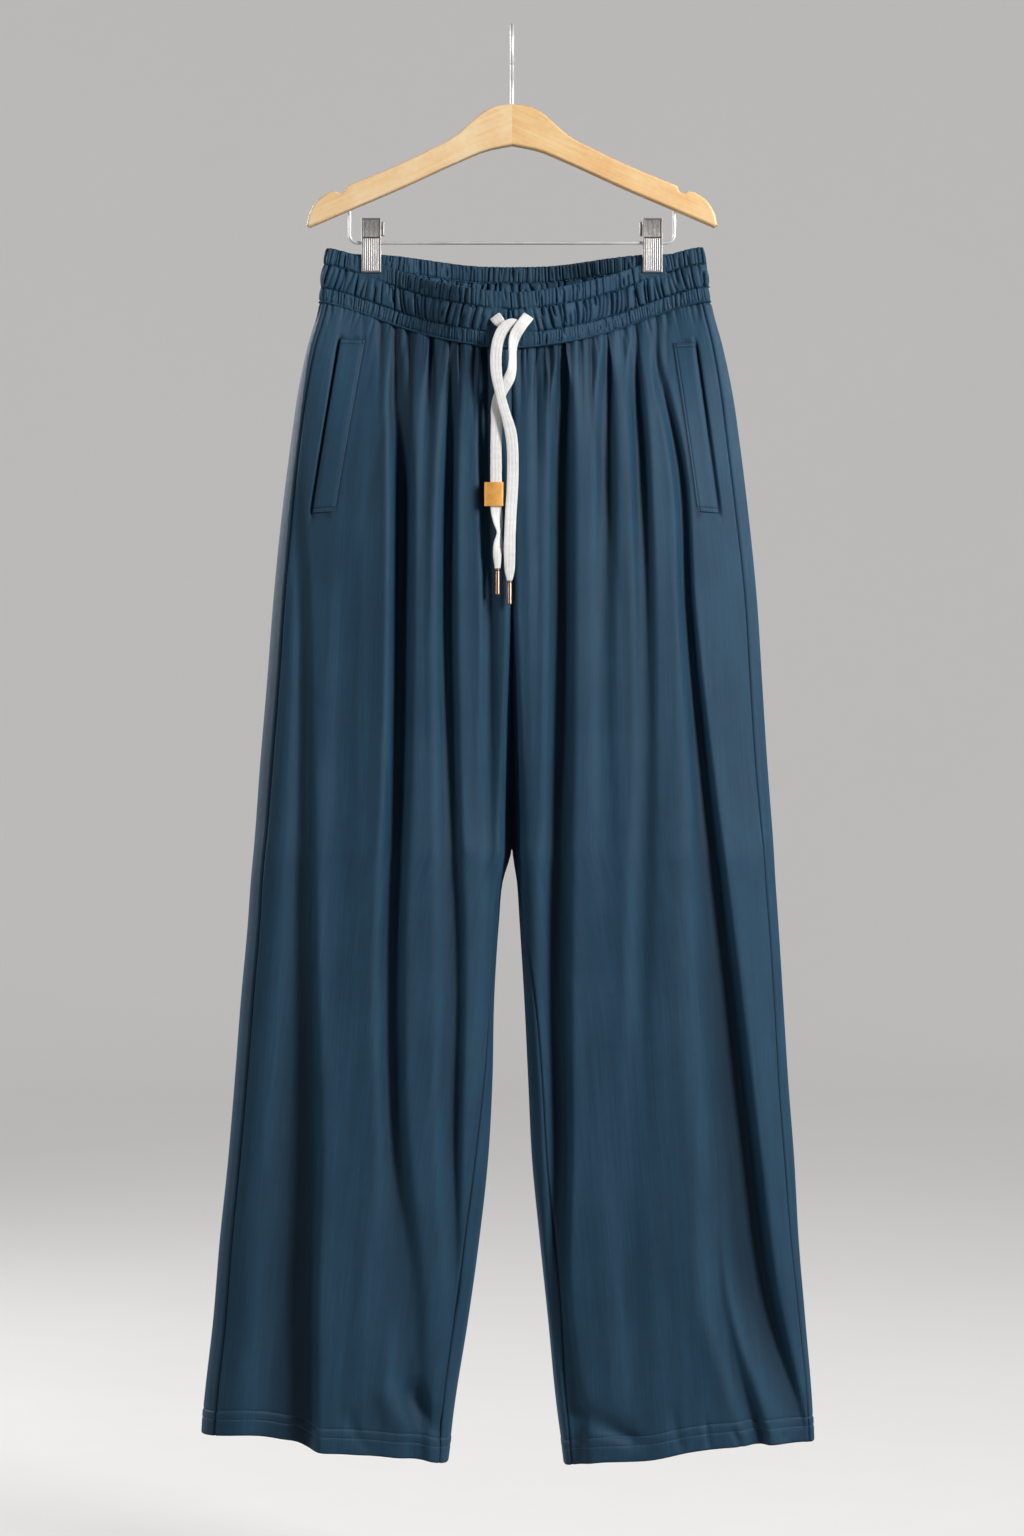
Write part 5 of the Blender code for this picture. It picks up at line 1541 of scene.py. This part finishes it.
def make_wire(name, points, radius, material, replaced=None):
    curve = bpy.data.curves.new(name, "CURVE")
    curve.dimensions = "3D"
    curve.bevel_depth = radius * MM
    curve.bevel_resolution = 5
    curve.use_fill_caps = True
    spline = curve.splines.new("POLY")
    spline.points.add(len(points) - 1)
    for target, point in zip(spline.points, points):
        target.co = (point[0] * MM, point[1] * MM, point[2] * MM, 1.0)
    spline.use_smooth = True
    piece = link(name, curve, material)
    if replaced:
        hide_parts(replaced)
    return piece


NECK = [(0.0, -69.6), (0.0, -61.0), (0.5, -55.0), (3.0, -49.0), (7.5, -44.2), (14.2, -39.3)]
BAR_TOP = -165.2
neck = [(0.0, y, z) for y, z in rounded(NECK, 24)]
loop_angles = np.radians(np.linspace(-48, 222, 64))
loop_centre = HOOK_RADIUS - HOOK_LOOP
loop = [(0.0, HOOK_LOOP * math.cos(a), loop_centre + HOOK_LOOP * math.sin(a)) for a in loop_angles]
make_wire("hook_wire", neck + loop, HOOK_RADIUS, bright_wire, "hook")

corner = BAR_Z + BAR_BEND
turns = np.radians(np.linspace(0, 90, 13))
straight = BAR_X - BAR_BEND
right_turn = [(straight + BAR_BEND * math.sin(a), 0.0, corner - BAR_BEND * math.cos(a)) for a in turns]
left_turn = [(-x, y, z) for x, y, z in right_turn[::-1]]
bar_points = [(-BAR_X, 0.0, BAR_TOP)] + left_turn + right_turn + [(BAR_X, 0.0, BAR_TOP)]
make_wire("bar_wire", bar_points, BAR_RADIUS, bright_wire, "bar")
print("the bar is", 2 * BAR_X, "mm long")

# %% [markdown]
# ## Clips
# A clip is two pressed plates on a pin, with a spring between them. Each plate
# has a raised rim, a line across where it bends, and fine upright ribs. The
# plate is a grid whose points follow that profile, its sides turned back, and
# it gets its thickness in the same way as the cloth.

# %% Clip plates
CLIP_HALF = 9.0
CLIP_TOP = -172.0
CLIP_BOTTOM = -220.5
CLIP_LINE = -189.4
JawRow = namedtuple("JawRow", "height outer")
JAW_ROWS = [
    JawRow(CLIP_TOP, 6.6), JawRow(-182.0, 5.0), JawRow(-190.5, 4.4), JawRow(-196.5, 4.4), JawRow(-204.0, 4.6),
    JawRow(-214.0, 4.5), JawRow(CLIP_BOTTOM, 4.3),
]
PLATE = 0.9
RIM = 1.5


def plate_grid():
    """Across the plate: turned-back side, front, turned-back side."""
    flank = [(0.0, 2.4), (0.0, 1.6), (0.0, 0.9), (0.15, 0.42), (0.42, 0.14)]
    flank = [(-CLIP_HALF + inwards, back) for inwards, back in flank]
    front = [(x, 0.0) for x in np.linspace(-CLIP_HALF + 0.8, CLIP_HALF - 0.8, 133)]
    return np.array(flank + front + [(-x, back) for x, back in flank[::-1]])


def make_plate(side, is_front):
    way = -1.0 if is_front else 1.0
    middle = SIDES[side] * CLIP_X
    track = plate_grid()
    z = np.concatenate([
        np.linspace(CLIP_TOP, CLIP_TOP - 3, 13), np.linspace(CLIP_TOP - 3.6, CLIP_LINE + 1.6, 22),
        np.linspace(CLIP_LINE + 1.3, CLIP_LINE - 1.3, 14),
        np.linspace(CLIP_LINE - 1.8, CLIP_BOTTOM + 3.4, 34),
        np.linspace(CLIP_BOTTOM + 3, CLIP_BOTTOM, 13),
    ])[:, None]
    x = track[None, :, 0] + 0 * z
    back = track[None, :, 1] + 0 * z
    base = smooth_at([row.height for row in JAW_ROWS], [row.outer for row in JAW_ROWS], z)
    to_side = CLIP_HALF - np.abs(x)
    to_end = np.minimum(CLIP_TOP - z, z - CLIP_BOTTOM)
    to_line = np.abs(z - CLIP_LINE)
    rim = np.maximum(1 - soft_step((to_side - RIM) / 0.5), 1 - soft_step((to_end - RIM * 0.8) / 0.5))
    upper = z > CLIP_LINE
    ripple = np.cos(x * math.tau / np.where(upper, 1.15, 1.9)) * (1 - rim)
    ribs = ripple * np.where(upper, 0.09, 0.16)
    relief = 0.3 * rim + ribs - 0.35 * bell(to_line, 0.45) * (to_side > RIM * 0.6)
    relief = relief - 0.3 * np.clip(1 - to_end / 0.5, 0, 1) ** 2
    y = (base - 0.3 + relief - back) * way
    outer = np.stack([x + middle, y, z + 0 * x], axis=-1)
    thin = np.clip(1 - back / 0.5, 0, 1) * PLATE
    inner = np.stack([
        middle + x - np.sign(x) * np.where(back > 0, PLATE * np.clip(back / 0.5, 0, 1), 0.0),
        (base - 0.3 - back - thin) * way,
        z + 0 * x,
    ], axis=-1)
    # painted shade: darker in the rib valleys, along the bend line and inside the rim, and the upper half
    # darker all over
    painted_shade = (0.5 - 0.5 * ripple) * (1 - rim) * np.where(upper, 0.5, 0.42) + 0.3 * upper * (1 - rim)
    painted_shade = painted_shade + 0.8 * bell(to_line, 0.5) * (to_side > RIM * 0.6)
    painted_shade = painted_shade + 0.5 * bell(to_side - RIM - 0.3, 0.25)
    name = side + ("_front" if is_front else "_back")
    piece = sheet_piece("plate_" + name, outer, inner, satin_steel, (painted_shade, 0.5), sharp=45.0)
    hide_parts("clip_" + name)
    return piece


for side in SIDES:
    for is_front in (True, False):
        make_plate(side, is_front)
print("all four plates are in place")

# %% [markdown]
# Between the plates sits the spring: a few turns of wire round a pin, with the
# ears of the rear plate showing beside it.

# %% Pins, springs and ears
PIN_Z = -183.0
COIL_RADIUS = 1.45
EAR_SIZE = Vector((3.4, 3.0, 13.0))
for side, out in SIDES.items():
    middle = out * CLIP_X
    make_wire("pin_" + side, [(middle - 8.2, 0, PIN_Z), (middle + 8.2, 0, PIN_Z)], 0.85, satin_steel)
    coil = []
    for along, a in zip(np.linspace(-4.5, 4.5, 160), np.linspace(0, 6.5 * math.tau, 160)):
        coil.append((middle + along, COIL_RADIUS * math.cos(a), PIN_Z + COIL_RADIUS * math.sin(a)))
    make_wire("spring_" + side, coil, 0.42, dark_spring)
    bm = bmesh.new()
    bmesh.ops.create_cube(bm, size=1.0)
    bmesh.ops.scale(bm, verts=bm.verts, vec=EAR_SIZE * MM)
    bmesh.ops.translate(bm, verts=bm.verts, vec=Vector((middle - out * 10.0, 2.4, -180.6)) * MM)
    bmesh.ops.bevel(
        bm, geom=list(bm.edges), offset=1.1 * MM, affect="EDGES", segments=4, profile=0.5, material=-1,
    )
    finish_mesh("ear_" + side, bm, satin_steel, sharp=45.0)
print("pins, springs and ears are in place")

# %% [markdown]
# ## Floor and light
# The setting is plain: a pale floor that rises all round into a wall, like a
# bowl, so that it looks the same from every side. The wall is far away and gets
# little light, so it has a faint glow that only the camera sees. The glow
# lights nothing, and the folds stay as dark as the lamps make them.

# %% Floor
FLOOR_Z = -1.47
FLAT_RADIUS = 5.3
WALL_RADIUS = 7.5
WALL_HEIGHT = 6.0
FLAT_RINGS = 4
WALL_RINGS = 20
FLOOR_GLOW = 0.44
bm = bmesh.new()
bmesh.ops.create_circle(bm, segments=96, radius=0.2)
rim = bmesh.ops.extrude_edge_only(bm, edges=list(bm.edges))["geom"]
for step in range(1, FLAT_RINGS + WALL_RINGS + 1):
    turn = max(0, step - FLAT_RINGS) / WALL_RINGS * math.pi / 2
    flat = FLAT_RADIUS * min(1.0, step / FLAT_RINGS)
    radius = flat + (WALL_RADIUS - FLAT_RADIUS) * math.sin(turn)
    height = WALL_HEIGHT * (1 - math.cos(turn))
    ring = [item for item in rim if isinstance(item, bmesh.types.BMVert)]
    for vert in ring:
        way = vert.co.xy.normalized() * radius
        vert.co = Vector((way.x, way.y, height))
    edges = [item for item in rim if isinstance(item, bmesh.types.BMEdge)]
    if step < FLAT_RINGS + WALL_RINGS:
        rim = bmesh.ops.extrude_edge_only(bm, edges=edges)["geom"]
middle = [edge for edge in bm.edges if edge.is_boundary and edge.verts[0].co.xy.length < 0.3]
bmesh.ops.edgeloop_fill(bm, edges=middle)
bmesh.ops.translate(bm, verts=bm.verts, vec=Vector((0.0, 0.0, FLOOR_Z)))
bmesh.ops.recalc_face_normals(bm, faces=bm.faces)
bmesh.ops.reverse_faces(bm, faces=[face for face in bm.faces if face.normal.z < 0])
pale_floor, tree, shader = new_material("pale_floor", Roughness=0.85)
tone = place_group(
    tree, mottle, Vector=node(tree, "ShaderNodeTexCoord").outputs["Object"], Scale=1.5,
    Dark=(0.40, 0.395, 0.39, 1.0), Light=(0.43, 0.425, 0.42, 1.0),
)
tree.links.new(tone["Color"], shader["Base Color"])
shader["Emission Color"].default_value = (1.0, 0.985, 0.965, 1.0)
seen = node(tree, "ShaderNodeLightPath").outputs["Is Camera Ray"]
tree.links.new(maths(tree, "MULTIPLY", seen, FLOOR_GLOW), shader["Emission Strength"])
floor_mesh = bpy.data.meshes.new("floor")
bm.to_mesh(floor_mesh)
bm.free()
floor_mesh.shade_smooth()
floor_mesh.materials.append(pale_floor)
floor = bpy.data.objects.new("floor", floor_mesh)
bpy.context.scene.collection.objects.link(floor)
print("floor rings:", FLAT_RINGS + WALL_RINGS)

# %% [markdown]
# The key light is tall, soft and nearly beside the cloth, on the right, because
# light that grazes the cloth makes its folds read. A weak one on the left opens
# the shaded walls. A second pair does the same behind. No lamp shows itself.

# %% Lights
def soft_light(name, place, target, power, size):
    lamp = bpy.data.lights.new(name, "AREA")
    lamp.shape = "RECTANGLE"
    lamp.size, lamp.size_y = size
    lamp.energy = power
    made = bpy.data.objects.new(name, lamp)
    made.location = place
    made.rotation_euler = (Vector(target) - Vector(place)).to_track_quat("-Z", "Y").to_euler()
    made.visible_camera = False
    bpy.context.scene.collection.objects.link(made)


soft_light("key_light", (1.75, -1.4, 0.38), (0.0, 0.0, -0.55), 65.0, (0.45, 1.3))
soft_light("left_light", (-2.0, -1.0, 0.5), (0.0, 0.0, -0.55), 15.0, (0.5, 1.4))
soft_light("back_light", (-1.9, 1.5, 0.5), (0.0, 0.0, -0.6), 55.0, (0.55, 1.6))
soft_light("back_fill", (1.9, 1.1, 0.5), (0.0, 0.0, -0.6), 14.0, (0.5, 1.4))
world = bpy.data.worlds.new("even_sky")
bpy.context.scene.world = world
world.use_nodes = True
world.node_tree.nodes["Background"].inputs[0].default_value = (1.0, 1.0, 1.0, 1.0)
world.node_tree.nodes["Background"].inputs[1].default_value = 0.03
print("the lamps are in place")
